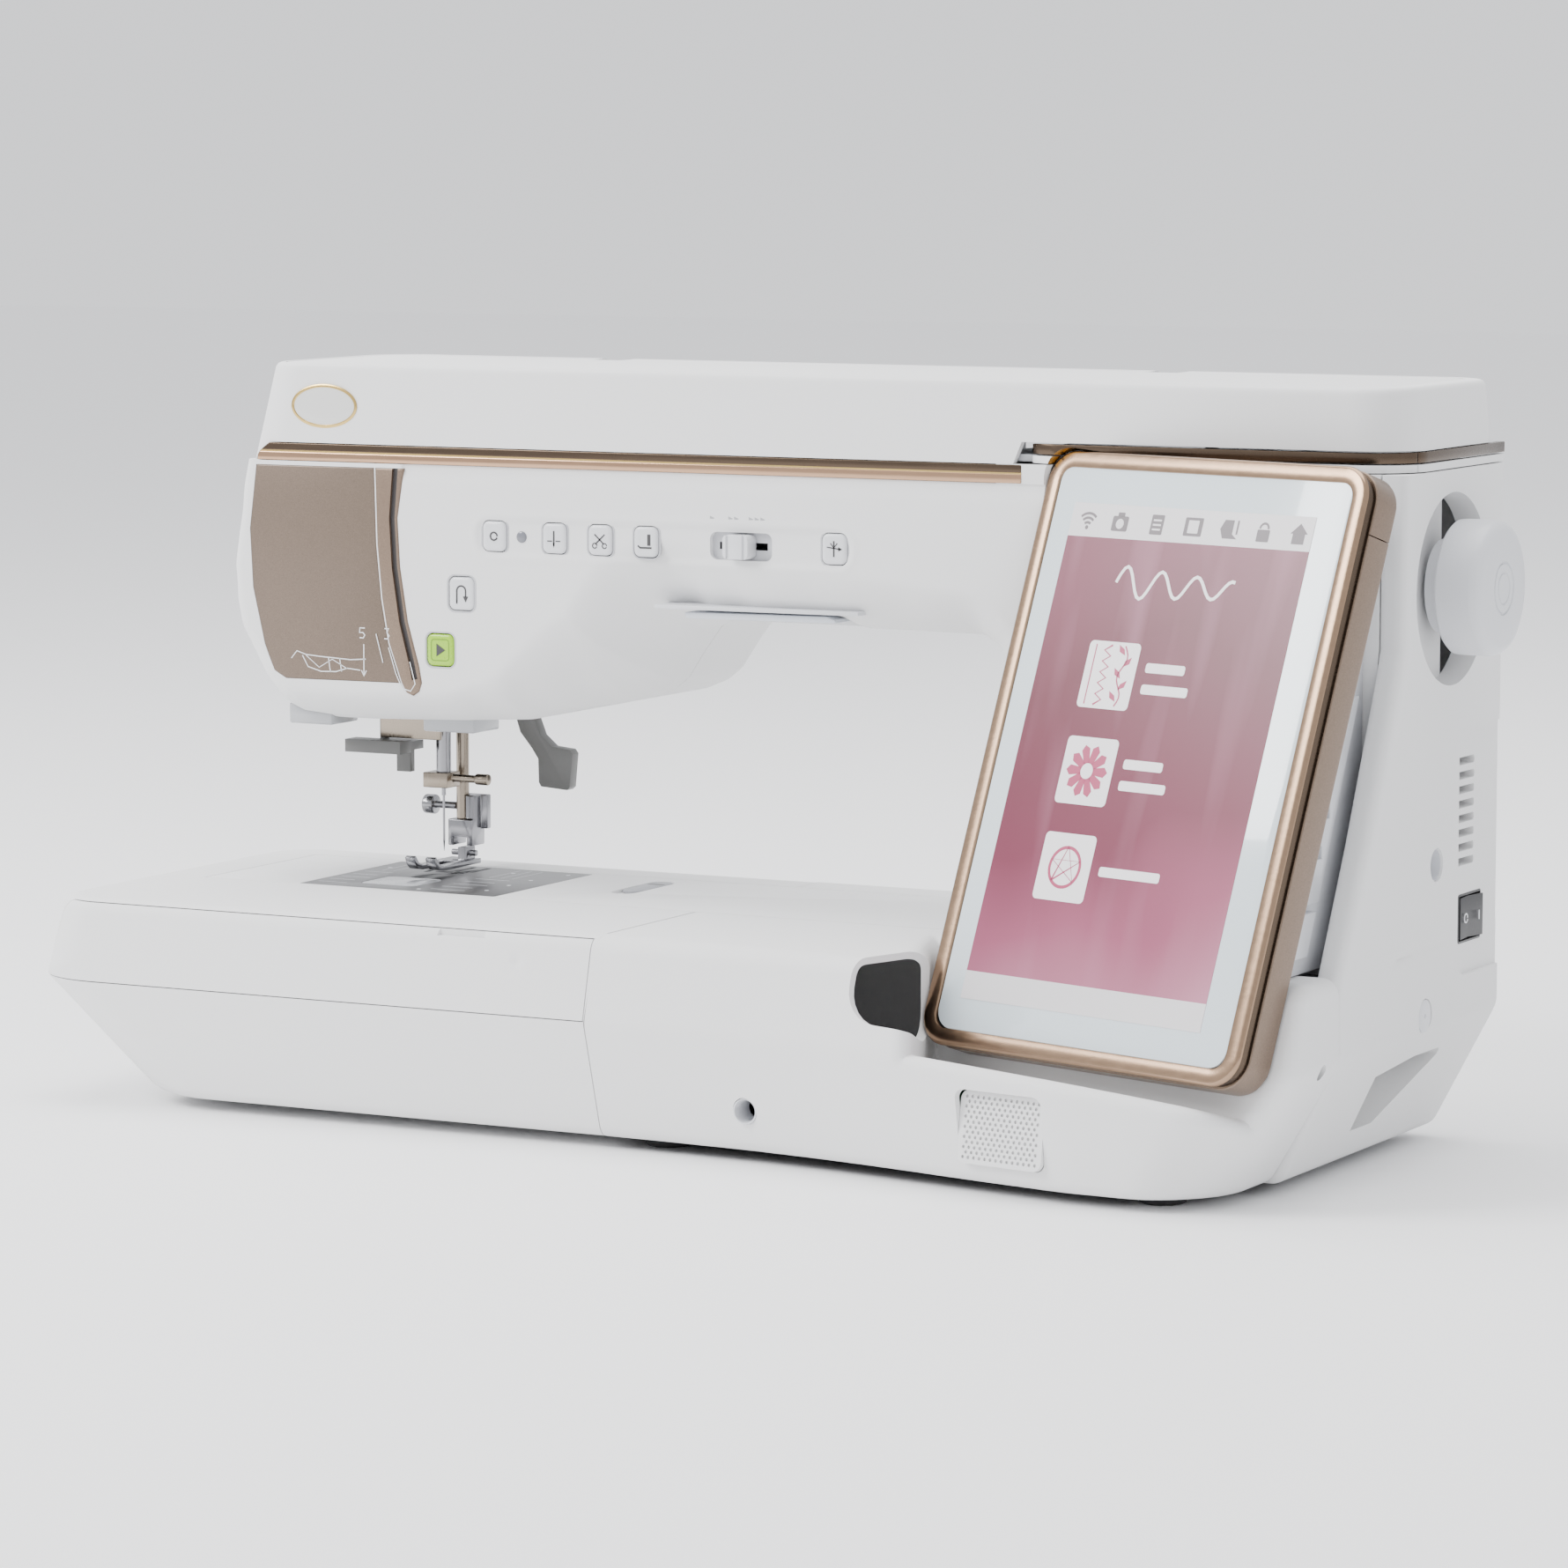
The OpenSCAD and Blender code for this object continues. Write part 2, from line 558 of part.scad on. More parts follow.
// ---- screen ----------------------------------------------------------------
module screen_bezel() {
    color("saddlebrown") at_screen() difference() {
        translate([0, 0, -bezel_t]) linear_extrude(bezel_t + 1.5) rrect(-87, -129.5, 91.5, 131, 14);
        translate([0, 0, -2.3]) linear_extrude(5) rrect(-79.3, -122.3, 84.3, 126.3, 9);
        translate([0, 0, -bezel_t - 1]) linear_extrude(bezel_t + 5) rrect(-76, -119, 81, 123, 6);
    }
}
module screen_glass() {
    color("aliceblue") at_screen() translate([0, 0, -2.1]) linear_extrude(2.1)
        rrect(-79, -122, 84, 126, 8.7);
}
module lcd_panel() {
    color("mediumvioletred") at_screen() translate([0, 0, -9]) linear_extrude(6.7)
        rrect(-71, -112, 71, 112, 1);
}
module screen_mount() {
    color("white") difference() {
        intersection() {
            box(column_x + 4, side_x - 18, -half_d, arm_front - 0.4, 66, 286);
            at_screen() translate([-70, -139, -230]) cube([150, 246, 230 - bezel_t - 0.3]);
        }
        box(column_x, side_x, -140, 20, 50, bed_top + 0.3);
        intersection() {
            box(column_x + 4 + wall, side_x - 18 - wall, -half_d, arm_front + 1, bed_top + 4, 286);
            at_screen() translate([-66, -139, -230]) cube([142, 240, 230 - bezel_t - 3.5]);
        }
    }
    color("white") at_screen() translate([0, 0, -bezel_t - 3.5]) linear_extrude(3.2)
        rrect(-82, -124, 86, -117, 3);
}
module port_panel() {
    color("white") difference() {
        yz(side_x - 17.7, side_x - 14.5) polygon([[-77, 101], [-58, 101], [-5, 204], [-38, 204]]);
        for (p = [[-48, 156], [-56, 140]]) box(side_x - 19, side_x - 13, p.x, p.x + 13, p.y, p.y + 5.5);
        box(side_x - 19, side_x - 13, -66, -44, 119, 122.5);
    }
}

// ---- structure and drive ----------------------------------------------------
module base_pan() {
    color("gray") xy(foot_h, foot_h + 3) polygon([[-284, 4.5], [-27.2, 4.5], [-27.2, -81], [43, -84],
        [112, -93.5], [204, -107], [225, -107], [250, -84], [255, -62], [261, -55],
        [261, 92], [-284, 92]]);
}
module base_feet() {
    color("black") for (p = [[-268, 48], [-10, -62], [-10, 78], [236, -88], [244, 78]])
        rod_z(0, foot_h, p.x, p.y, 10);
}
module main_frame() {
    color("silver") difference() {
        union() {
            xz(102, 105.5) polygon([[-250, 226], [200, 226], [200, 60], [258, 60], [258, 280], [-250, 280]]);
            box(200, 258, 70, 105.5, 60, 64);
            box(200, 204, 70, 74, foot_h + 3.2, 64);
            box(254, 258, 70, 74, foot_h + 3.2, 64);
            for (x = [-150, 90, 210]) box(x, x + 8, shaft_y - 14, 103, shaft_z - 13, shaft_z + 13);
            for (x = [-120, 100, 210]) box(x, x + 8, shaft_y - 12, shaft_y + 12, foot_h + 3.2, lower_z + 12);
        }
        rod_x(-160, 230, shaft_y, shaft_z, 8);
        box(220, 238, 69, 90, 59, 65);
        rod_x(-130, 230, shaft_y, lower_z, 8);
    }
}
module shaft_bushes() {
    color("goldenrod") for (x = [-150, 90, 210]) difference() {
        rod_x(x, x + 8, shaft_y, shaft_z, 7.97);
        rod_x(x - 1, x + 9, shaft_y, shaft_z, 5.03);
    }
    color("goldenrod") for (x = [-120, 100, 210]) difference() {
        rod_x(x, x + 8, shaft_y, lower_z, 7.97);
        rod_x(x - 1, x + 9, shaft_y, lower_z, 5.03);
    }
}
module main_shaft() {
    color("silver") union() {
        rod_x(-188, 318, shaft_y, shaft_z, 5);
        rod_x(-190, -184, shaft_y, shaft_z, 18);
        rod_x(belt_x - 2, belt_x + 10, shaft_y, shaft_z, 20);
        rod_x(240, 248, shaft_y, shaft_z, 30);
    }
}
module lower_shaft() {
    color("silver") union() {
        rod_x(-184, 240, shaft_y, lower_z, 5);
        rod_x(belt_x - 2, belt_x + 10, shaft_y, lower_z, 20);
        rod_x(-184, -176, shaft_y, lower_z, 13);
    }
}
module belt(c1, r1, c2, r2) {
    difference() {
        hull() {
            translate(c1) circle(r1 + 1.8);
            translate(c2) circle(r2 + 1.8);
        }
        hull() {
            translate(c1) circle(r1 + 0.35);
            translate(c2) circle(r2 + 0.35);
        }
    }
}
module drive_belts() {
    color("black") yz(belt_x, belt_x + 8) belt([shaft_y, shaft_z], 20, [shaft_y, lower_z], 20);
    color("black") yz(241, 247) belt([shaft_y, shaft_z], 30, [motor_y, motor_z], 8);
}
module main_motor() {
    color("gray") difference() {
        union() {
            rod_x(134, 190, motor_y, motor_z, 27);
            box(186, 190, 20, 101.6, 104, 160);
        }
        rod_x(130, 200, motor_y, motor_z, 4.2);
    }
}
module motor_rotor() {
    color("silver") union() {
        rod_x(132, 248, motor_y, motor_z, 4);
        rod_x(240, 248, motor_y, motor_z, 8);
    }
}
module power_board() {
    color("darkgreen") union() {
        box(120, 192, -72, -8, 20, 22);
        for (p = [[126, -62], [150, -34]]) box(p.x, p.x + 30, p.y, p.y + 18, 22, 34);
        for (x = [126, 182], y = [-68, -16]) box(x, x + 4, y, y + 4, foot_h + 3, 20);
    }
}
module handwheel() {
    color("white") difference() {
        union() {
            rod_x(side_x - 5, side_x + 2, shaft_y, shaft_z, 20);
            rod_x(side_x + 2, half_l, shaft_y, shaft_z, wheel_r);
        }
        rod_x(side_x - 8, 318.2, shaft_y, shaft_z, 5.03);
        difference() {
            rod_x(half_l - 0.8, half_l + 1, shaft_y, shaft_z, 11);
            rod_x(half_l - 2, half_l + 2, shaft_y, shaft_z, 10);
        }
    }
}

// ---- needle and presser parts ------------------------------------------------
module take_up_lever() {
    color("silver") difference() {
        union() {
            yz(-214, -211.5) polygon([[74, 228], [84, 228], [84, 242], [22, 266], [18, 262], [18, 258]]);
            rod_x(-216, -211.5, 80, 235, 6);
        }
        rod_x(-220, -200, 80, 235, 3);
    }
}
module needle_bar() { color("silver") rod_z(140.2, 274, needle_x, needle_y, 3.5); }
module needle_clamp() {
    color("silver") union() {
        box(-209, -196, 62, 74, 133, 140);
        rod_x(-196, -183.5, needle_y, 137.4, 1.8);
    }
    color("black") rod_x(-183.5, -177, needle_y, 137.4, 2.6);
}
module needle() {
    color("silver") union() {
        rod_z(129, 133, needle_x, needle_y, 1);
        rod_z(108, 129, needle_x, needle_y, 0.55);
        translate([needle_x, needle_y, 103]) cylinder(h = 5, r1 = 0.12, r2 = 0.55);
    }
}
module presser_bar() { color("silver") rod_z(117, 258, needle_x + 1.3, presser_y, 3); }
module presser_ankle() {
    color("silver") difference() {
        union() {
            box(needle_x - 4, needle_x + 12.5, 86.3, 90, 112, 128);
            box(needle_x - 4, needle_x + 9, 78, 90, 104.4, 116.8);
            box(needle_x + 4.4, needle_x + 9, 80, 86.3, 116.8, 128);
        }
        box(needle_x - 1, needle_x + 6, 76, 90.5, 103, 108.5);
    }
    color("silver") {
        rod_x(-214.5, -203.2, presser_y, 122.6, 1.7);
        rod_x(-220, -214.5, presser_y, 122.6, 4.6);
    }
}
module presser_foot() {
    color("silver") difference() {
        union() {
            for (x = [needle_x - 8, needle_x + 3])
                yz(x, x + 5) polygon([[46, 101.8], [47.4, 98.6], [50, 96.4], [54, 95.6], [88, 95.6],
                    [88, 97.6], [54.6, 97.6], [50.8, 98.8], [47.6, 102.6]]);
            box(needle_x - 8, needle_x + 8, 72.5, 88, 95.6, 97.8);
            box(needle_x + 0.2, needle_x + 4.8, 80, 88, 97.6, 103.4);
            rod_x(needle_x - 5, needle_x + 8, pivot_y, pivot_z + 1, 1.4);
        }
    }
}
module presser_lever() {
    color("dimgray") union() {
        xz(97, 103) polygon([[-182, 184], [-171, 184], [-170, 166], [-166, 156], [-160, 151],
            [-150.5, 150], [-149, 148], [-150.5, 132.4], [-152, 131], [-166, 132], [-167.2, 134],
            [-167.5, 145], [-171, 150], [-177, 157], [-180, 166]]);
        rod_y(95, 103, -176.5, 180, 7);
    }
}
module needle_threader() {
    color("gray") union() {
        box(-244, -214, 50, 60, 149, 155);
        box(-236, -214.5, 60, 72, 150, 154);
        box(-222, -214.5, 60, 64, 140, 150);
        rod_z(154, 183, -232, 66, 2.2);
    }
}

// ---- controls ----------------------------------------------------------------
module key_cap(x, z, w, h) {
    xz(arm_front - 0.4, arm_front + 5) rrect(x - w / 2, z - h / 2, x + w / 2, z + h / 2, 3);
}
module stitch_lock_button() { color("white") key_cap(button_x[0], 255.5, 12, 13.5); }
module needle_position_button() { color("white") key_cap(button_x[1], 255.5, 12, 13.5); }
module thread_cutter_button() { color("white") key_cap(button_x[2], 255.5, 12, 13.5); }
module presser_foot_button() { color("white") key_cap(button_x[3], 255.5, 12, 13.5); }
module threader_button() { color("white") key_cap(button_x[4], 255.5, 12, 13.5); }
module reverse_button() { color("white") key_cap(-155.1, 229, 13, 15); }
module start_stop_button() { color("yellowgreen") key_cap(-166.4, 203, 14, 14.5); }
module speed_slider() {
    color("white") union() {
        xz(3, 11.6) rrect(slider_x - 6.5, slider_z - 5.6, slider_x + 6.5, slider_z + 5.6, 2.5);
        box(slider_x - 2, slider_x + 2, 11.6, 20, slider_z - 1.2, slider_z + 1.2);
    }
}

base_pan();
base_feet();
bed_front_cover();
free_arm_cover();
arm_front_cover();
rear_cover();
side_cover();
trim_strips();
face_plate();
thread_channel_cover();
work_lamps();
needle_plate();
speaker_grille();
screen_bezel();
screen_glass();
lcd_panel();
screen_mount();
port_panel();
main_frame();
main_motor();
power_board();
power_inlet();
bobbin_case();
shaft_bushes();
thread_guide_bracket();
upper_deck();
drive_belts();
lid_shell();
lid_panel();
carry_handle();
handwheel();
main_shaft();
motor_rotor();
lower_shaft();
rotary_hook();
take_up_lever();
needle_bar();
needle_clamp();
needle();
presser_bar();
presser_ankle();
presser_foot();
presser_lever();
needle_threader();
feed_dogs();
stitch_lock_button();
needle_position_button();
thread_cutter_button();
presser_foot_button();
threader_button();
reverse_button();
start_stop_button();
speed_slider();
power_rocker();
accessory_case();
accessory_door();
bobbin_cover();
plate_release_slider();
bobbin_winder();
knee_lift_socket();
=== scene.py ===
import json
import math

import bmesh
import bpy
import numpy as np
import openvdb
from mathutils import Matrix, Vector


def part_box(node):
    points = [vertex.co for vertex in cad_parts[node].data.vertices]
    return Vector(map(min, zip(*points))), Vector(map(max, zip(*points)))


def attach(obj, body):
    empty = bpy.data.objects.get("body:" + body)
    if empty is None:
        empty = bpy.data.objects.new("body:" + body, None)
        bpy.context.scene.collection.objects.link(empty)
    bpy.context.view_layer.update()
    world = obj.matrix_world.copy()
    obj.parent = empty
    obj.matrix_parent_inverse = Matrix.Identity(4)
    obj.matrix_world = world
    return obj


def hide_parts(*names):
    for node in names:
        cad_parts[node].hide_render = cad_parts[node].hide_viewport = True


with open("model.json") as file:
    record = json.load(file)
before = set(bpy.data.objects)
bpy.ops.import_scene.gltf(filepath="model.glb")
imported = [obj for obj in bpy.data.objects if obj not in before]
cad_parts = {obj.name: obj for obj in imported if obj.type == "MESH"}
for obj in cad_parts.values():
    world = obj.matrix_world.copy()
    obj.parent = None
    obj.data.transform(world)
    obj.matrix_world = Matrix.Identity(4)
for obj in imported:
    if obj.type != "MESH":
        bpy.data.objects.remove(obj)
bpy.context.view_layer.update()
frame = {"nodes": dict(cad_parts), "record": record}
MM = 0.001

# ---------------------------------------------------------------- camera
cam = bpy.data.objects.new("cam", bpy.data.cameras.new("cam"))
bpy.context.scene.collection.objects.link(cam)
cam.location = (1.2354, -2.3126, 0.4466)
cam.rotation_euler = (math.radians(83.58), 0, math.radians(27.85))
cam.data.lens = 137.95
cam.data.sensor_width = 36
cam.data.clip_start = 0.05
bpy.context.scene.camera = cam

# ---------------------------------------------------------------- named places (mm)
def cad(node):
    lo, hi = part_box(node)
    return np.array(lo) * 1000, np.array(hi) * 1000


BED_TOP = cad("free_arm_cover")[1][2]
ARM_FRONT = cad("arm_front_cover")[0][1]
ARM_REAR = cad("rear_cover")[1][1] - 2
SIDE_X = cad("side_cover")[1][0]
SEAM_X = cad("accessory_case")[1][0]
BED_LEFT = cad("accessory_case")[0][0]
CREASE = 56.0
WHEEL = np.array([0, 62.0, 245.4])
SCREEN = Matrix.Translation((207, -52, 177)) @ Matrix.Rotation(math.radians(-18.23), 4, "Z") @ \
    Matrix.Rotation(math.radians(90 - 18.53), 4, "X")
SCREEN_BACK = -20.8  # back of the room kept for the screen, along the screen's own normal

# ---------------------------------------------------------------- materials
def set_all(node, **values):
    """Sets inputs by name, with _ for a space."""
    for key, value in values.items():
        node.inputs[key.replace("_", " ")].default_value = value


M = {}


def new_mat(name):
    m = M[name] = bpy.data.materials.new(name)
    m.use_nodes = True
    nt = m.node_tree

    def add(kind, **values):
        node = nt.nodes.new("ShaderNode" + kind)
        set_all(node, **values)
        return node

    def wire(*ends):
        for out, socket in ends:
            nt.links.new(out, socket)
    return m, nt.nodes["Principled BSDF"], add, wire


def finish(b, add, wire, tint, grain, height, color, vary, rough, spread, bump, distance, stops=(0, 1)):
    """Colour drifts by one factor and roughness by another, over a fine bump."""
    ramp = add("ValToRGB")
    for e, place, k in zip(ramp.color_ramp.elements, stops, (1 - vary, 1 + vary)):
        e.position = place
        e.color = (*np.clip(np.array(color) * k, 0, 1), 1)
    mr = add("MapRange", To_Min=rough * (1 - spread), To_Max=rough * (1 + spread))
    bp = add("Bump", Strength=bump, Distance=distance)
    wire((tint, ramp.inputs["Fac"]), (ramp.outputs["Color"], b.inputs["Base Color"]),
         (grain, mr.inputs["Value"]), (mr.outputs["Result"], b.inputs["Roughness"]),
         (height, bp.inputs["Height"]), (bp.outputs["Normal"], b.inputs["Normal"]))


def plastic(name, color, rough=0.3, coat=0.0, bump=0.02, scale=900, vary=0.02, metal=0.0,
            spec=0.5, coat_rough=0.08):
    """Moulded or painted surface: slow colour drift, patchy roughness and a fine moulded grain."""
    m, b, add, wire = new_mat(name)
    co = add("TexCoord").outputs["Object"]
    drift, grain = add("TexNoise", Scale=14, Detail=3), add("TexNoise", Scale=scale, Detail=2)
    wire((co, drift.inputs["Vector"]), (co, grain.inputs["Vector"]))
    fine = grain.outputs["Fac"]
    finish(b, add, wire, drift.outputs["Fac"], fine, fine, color, vary, rough, 0.12, bump, 0.0004, (0.3, 0.7))
    set_all(b, Metallic=metal, Specular_IOR_Level=spec, Coat_Weight=coat, Coat_Roughness=coat_rough)
    return m


def flake(name, color, rough=0.34, scale=2600, metal=0.75, coat=0.35, amount=0.28):
    """Metallic paint: fine cells of slightly different brightness under a clear coat."""
    m, b, add, wire = new_mat(name)
    co = add("TexCoord").outputs["Object"]
    cells, sep = add("TexVoronoi", Scale=scale), add("SeparateColor")
    grain = add("TexNoise", Scale=scale / 3)
    wire((co, cells.inputs["Vector"]), (co, grain.inputs["Vector"]), (cells.outputs["Color"], sep.inputs["Color"]))
    finish(b, add, wire, sep.outputs["Red"], grain.outputs["Fac"], sep.outputs["Green"], color, amount,
           rough, 0.2, 0.05, 0.0003)
    set_all(b, Metallic=metal, Coat_Weight=coat, Coat_Roughness=0.12)
    return m


def brushed(name, color, rough=0.3, stretch=(1, 60, 60), scale=30):
    """Metal with a fine grain drawn out along one direction."""
    m, b, add, wire = new_mat(name)
    mp, grain = add("Mapping", Scale=stretch), add("TexNoise", Scale=scale, Detail=4)
    wire((add("TexCoord").outputs["Object"], mp.inputs["Vector"]), (mp.outputs["Vector"], grain.inputs["Vector"]))
    fac = grain.outputs["Fac"]
    finish(b, add, wire, fac, fac, fac, color, 0.08, rough, 0.25, 0.06, 0.0002)
    set_all(b, Metallic=1.0)
    return m


plastic("white_gloss", (0.70, 0.71, 0.735), 0.17, coat=0.35, bump=0.004, vary=0.008)
plastic("white_satin", (0.66, 0.67, 0.70), 0.36, coat=0.08, bump=0.02, vary=0.01, coat_rough=0.2)
flake("bronze_paint", (0.165, 0.122, 0.092), 0.42, 4200, 0.5, 0.15, 0.16)
flake("bronze_side", (0.205, 0.145, 0.105), 0.38, 4200, 0.55, 0.15, 0.16)
brushed("bronze_chrome", (0.48, 0.30, 0.19), 0.15, (1, 8, 8), 60)
# dark bronze; on the trim strips it is painted shade of the strip's top bevel
brushed("bronze_dark", (0.10, 0.072, 0.052), 0.26, (1, 8, 8), 60)
plastic("lid_brown", (0.15, 0.133, 0.131), 0.8, bump=0.03, scale=2600, vary=0.04, spec=0.0)
plastic("bezel_glass", (0.66, 0.74, 0.78), 0.12, coat=1.0, bump=0.0, vary=0.012, coat_rough=0.03)
brushed("steel", (0.235, 0.235, 0.24), 0.34)
brushed("polished_steel", (0.30, 0.30, 0.315), 0.2, (30, 30, 1), 40)
brushed("champagne", (0.30, 0.255, 0.205), 0.26, (30, 30, 1), 40)
plastic("grey_plastic", (0.13, 0.13, 0.125), 0.4, bump=0.05, scale=1500)
plastic("light_grey", (0.34, 0.345, 0.37), 0.35, bump=0.03)
plastic("black_plastic", (0.018, 0.018, 0.02), 0.35, bump=0.05)
plastic("rubber", (0.03, 0.03, 0.03), 0.75, bump=0.15, scale=700)
plastic("green_key", (0.32, 0.60, 0.01), 0.28, coat=0.4, bump=0.01)
plastic("green_dark", (0.16, 0.32, 0.01), 0.35)
plastic("cast_frame", (0.45, 0.46, 0.47), 0.5, metal=0.8, bump=0.2, scale=500)
plastic("motor_shell", (0.05, 0.052, 0.058), 0.4, metal=0.3, bump=0.08)
plastic("circuit", (0.02, 0.12, 0.045), 0.4, bump=0.1, scale=400, vary=0.2)
brushed("brass_bush", (0.60, 0.42, 0.16), 0.35)
plastic("clear_lens", (0.40, 0.41, 0.43), 0.2, coat=0.6, bump=0.01)
plastic("print_dark", (0.05, 0.048, 0.05), 0.45, bump=0.01)
plastic("print_grey", (0.38, 0.385, 0.40), 0.4, bump=0.01)
plastic("print_white", (0.78, 0.80, 0.82), 0.4, bump=0.01)
plastic("ring_grey", (0.50, 0.505, 0.53), 0.35, bump=0.01)
# near-black for the sheet in the thread slot: painted shade of the slot's depth
plastic("slot_dark", (0.05, 0.045, 0.045), 0.6, bump=0.02)
brushed("bronze_edge", (0.33, 0.22, 0.145), 0.24, (1, 8, 8), 60)
brushed("gold", (0.62, 0.44, 0.16), 0.22)
plastic("badge_fill", (0.66, 0.66, 0.64), 0.25, coat=0.5)
plastic("tile_white", (0.86, 0.84, 0.85), 0.25, bump=0.0)
plastic("ui_bar", (0.68, 0.66, 0.67), 0.25, bump=0.0)
plastic("ui_icon", (0.14, 0.12, 0.13), 0.3, bump=0.0)
plastic("ui_rose", (0.42, 0.05, 0.13), 0.25, bump=0.0)
plastic("led_grey", (0.16, 0.165, 0.19), 0.2, coat=0.6, bump=0.0)
plastic("lamp_bar", (0.62, 0.65, 0.70), 0.3, bump=0.0)
plastic("white_speaker", (0.60, 0.605, 0.63), 0.4, bump=0.03)

# ---------------------------------------------------------------- mesh helpers
COLL = bpy.context.scene.collection


def obj_from(name, verts, faces, sharp=35):
    me = bpy.data.meshes.new(name)
    me.from_pydata([tuple(v) for v in verts], [], [tuple(f) for f in faces])
    me.validate()
    o = bpy.data.objects.new(name, me)
    COLL.objects.link(o)
    smooth(o, sharp)
    return o


def smooth(o, sharp=35):
    o.data.polygons.foreach_set("use_smooth", [True] * len(o.data.polygons))
    o.data.set_sharp_from_angle(angle=math.radians(sharp))


def to_m(o):
    o.data.transform(Matrix.Scale(MM, 4))
    return o


def apply_mods(o):
    deps = bpy.context.evaluated_depsgraph_get()
    me = bpy.data.meshes.new_from_object(o.evaluated_get(deps), preserve_all_data_layers=False,
                                         depsgraph=deps)
    old = o.data
    o.modifiers.clear()
    o.data = me
    bpy.data.meshes.remove(old)
    return o


def bool_op(o, tools, op="DIFFERENCE", sharp=35, keep=False):
    for t in tools:
        md = o.modifiers.new("b", "BOOLEAN")
        md.operation = op
        md.solver = "MANIFOLD"
        md.object = t
        bpy.context.view_layer.update()
        apply_mods(o)
    if not keep:
        for t in tools:
            bpy.data.objects.remove(t)
    smooth(o, sharp)
    return o


def bevel(o, w, seg=2, angle=40, sharp=35):
    md = o.modifiers.new("v", "BEVEL")
    md.width = w
    md.segments = seg
    md.limit_method = "ANGLE"
    md.angle_limit = math.radians(angle)
    bpy.context.view_layer.update()
    apply_mods(o)
    smooth(o, sharp)
    return o


def refine(node, width=0.35, seg=2, suffix="_form", sharp=35):
    """A softly edged copy of a CAD node: flat faces are merged and every sharp edge is rounded."""
    src = frame["nodes"][node]
    me = src.data.copy()
    me.name = node + suffix
    o = bpy.data.objects.new(node + suffix, me)
    COLL.objects.link(o)
    me.transform(src.matrix_world)
    me.transform(Matrix.Scale(1000, 4))
    bm = bmesh.new()
    bm.from_mesh(me)
    bmesh.ops.remove_doubles(bm, verts=bm.verts, dist=0.002)
    bmesh.ops.dissolve_limit(bm, angle_limit=math.radians(1.0), verts=bm.verts, edges=bm.edges)
    bmesh.ops.recalc_face_normals(bm, faces=bm.faces)
    bm.to_mesh(me)
    bm.free()
    bevel(o, width, seg, 32, sharp)
    o.data.materials.clear()
    smooth(o, sharp)
    return o


BODY_OF = {n: body for body, nodes in frame["record"]["behaviour"]["bodies"].items() for n in nodes}
SLOT_OF = {s["node"]: s["material_slot"] for s in frame["record"]["subparts"]}


def soften(node, width=0.35, seg=2, mat=None):
    """Replaces a CAD node by its softly edged copy, on the same body and in the same slot."""
    return done(refine(node, width, seg), BODY_OF[node], SLOT_OF[node], [node], mat)


def prism(name, pts, axis, a, b, sharp=35):
    """Outline extruded along an axis; pts are (Y,Z) for x, (X,Z) for y, (X,Y) for z."""
    n = len(pts)
    area = sum(pts[i][0] * pts[(i + 1) % n][1] - pts[(i + 1) % n][0] * pts[i][1] for i in range(n))
    pts = list(pts) if area > 0 else list(pts)[::-1]
    def at(p, h):
        return {"x": (h, p[0], p[1]), "y": (p[0], h, p[1]), "z": (p[0], p[1], h)}[axis]
    v = [at(p, a) for p in pts] + [at(p, b) for p in pts]
    f = [list(range(n))[::-1], list(range(n, 2 * n))]
    f += [[i, (i + 1) % n, n + (i + 1) % n, n + i] for i in range(n)]
    if axis == "y":
        f = [q[::-1] for q in f]
    return obj_from(name, v, f, sharp)


def block(x0, x1, y0, y1, z0, z1, name="t"):
    return prism(name, [(x0, y0), (x1, y0), (x1, y1), (x0, y1)], "z", z0, z1)


def rr(x0, y0, x1, y1, r, n=6):
    """Rounded rectangle outline, anticlockwise."""
    out = []
    for cx, cy, a in ((x1 - r, y0 + r, -90), (x1 - r, y1 - r, 0), (x0 + r, y1 - r, 90), (x0 + r, y0 + r, 180)):
        out += [(cx + r * math.cos(math.radians(a + 90 * i / n)),
                 cy + r * math.sin(math.radians(a + 90 * i / n))) for i in range(n + 1)]
    return out


def circ(cx, cy, r, n=40, sx=1.0, sy=1.0):
    return [(cx + sx * r * math.cos(2 * math.pi * i / n), cy + sy * r * math.sin(2 * math.pi * i / n))
            for i in range(n)]


def rings(name, loops, close=(True, True), sharp=35):
    """Skin over rings of equal point counts (3-D points)."""
    n = len(loops[0])
    v = [p for lp in loops for p in lp]
    f = []
    for k in range(len(loops) - 1):
        for i in range(n):
            f.append((k * n + i, k * n + (i + 1) % n, (k + 1) * n + (i + 1) % n, (k + 1) * n + i))
    if close[0]:
        f.append(tuple(range(n))[::-1])
    if close[1]:
        f.append(tuple((len(loops) - 1) * n + i for i in range(n)))
    return obj_from(name, v, f, sharp)


def lathe(name, prof, c, axis="x", n=64, sharp=35):
    """Turned part: prof is (distance along the axis, radius)."""
    lp = []
    for h, r in prof:
        ring = []
        for i in range(n):
            a = 2 * math.pi * i / n
            u, w = r * math.cos(a), r * math.sin(a)
            ring.append({"x": (h, c[0] + u, c[1] + w), "y": (c[0] + w, h, c[1] + u),
                         "z": (c[0] + u, c[1] + w, h)}[axis])
        lp.append(ring)
    return rings(name, lp, sharp=sharp)


def join(name, parts, sharp=35):
    bm = bmesh.new()
    mats = []
    for p in parts:
        me = p.data
        base = len(mats)
        mats += list(me.materials) or [None]
        before = len(bm.faces)
        bm.from_mesh(me)
        bm.faces.ensure_lookup_table()
        for fc in bm.faces[before:]:
            fc.material_index += base
    me = bpy.data.meshes.new(name)
    bm.to_mesh(me)
    bm.free()
    for p in parts:
        bpy.data.objects.remove(p)
    for m in mats:
        me.materials.append(m)
    o = bpy.data.objects.new(name, me)
    COLL.objects.link(o)
    smooth(o, sharp)
    return o


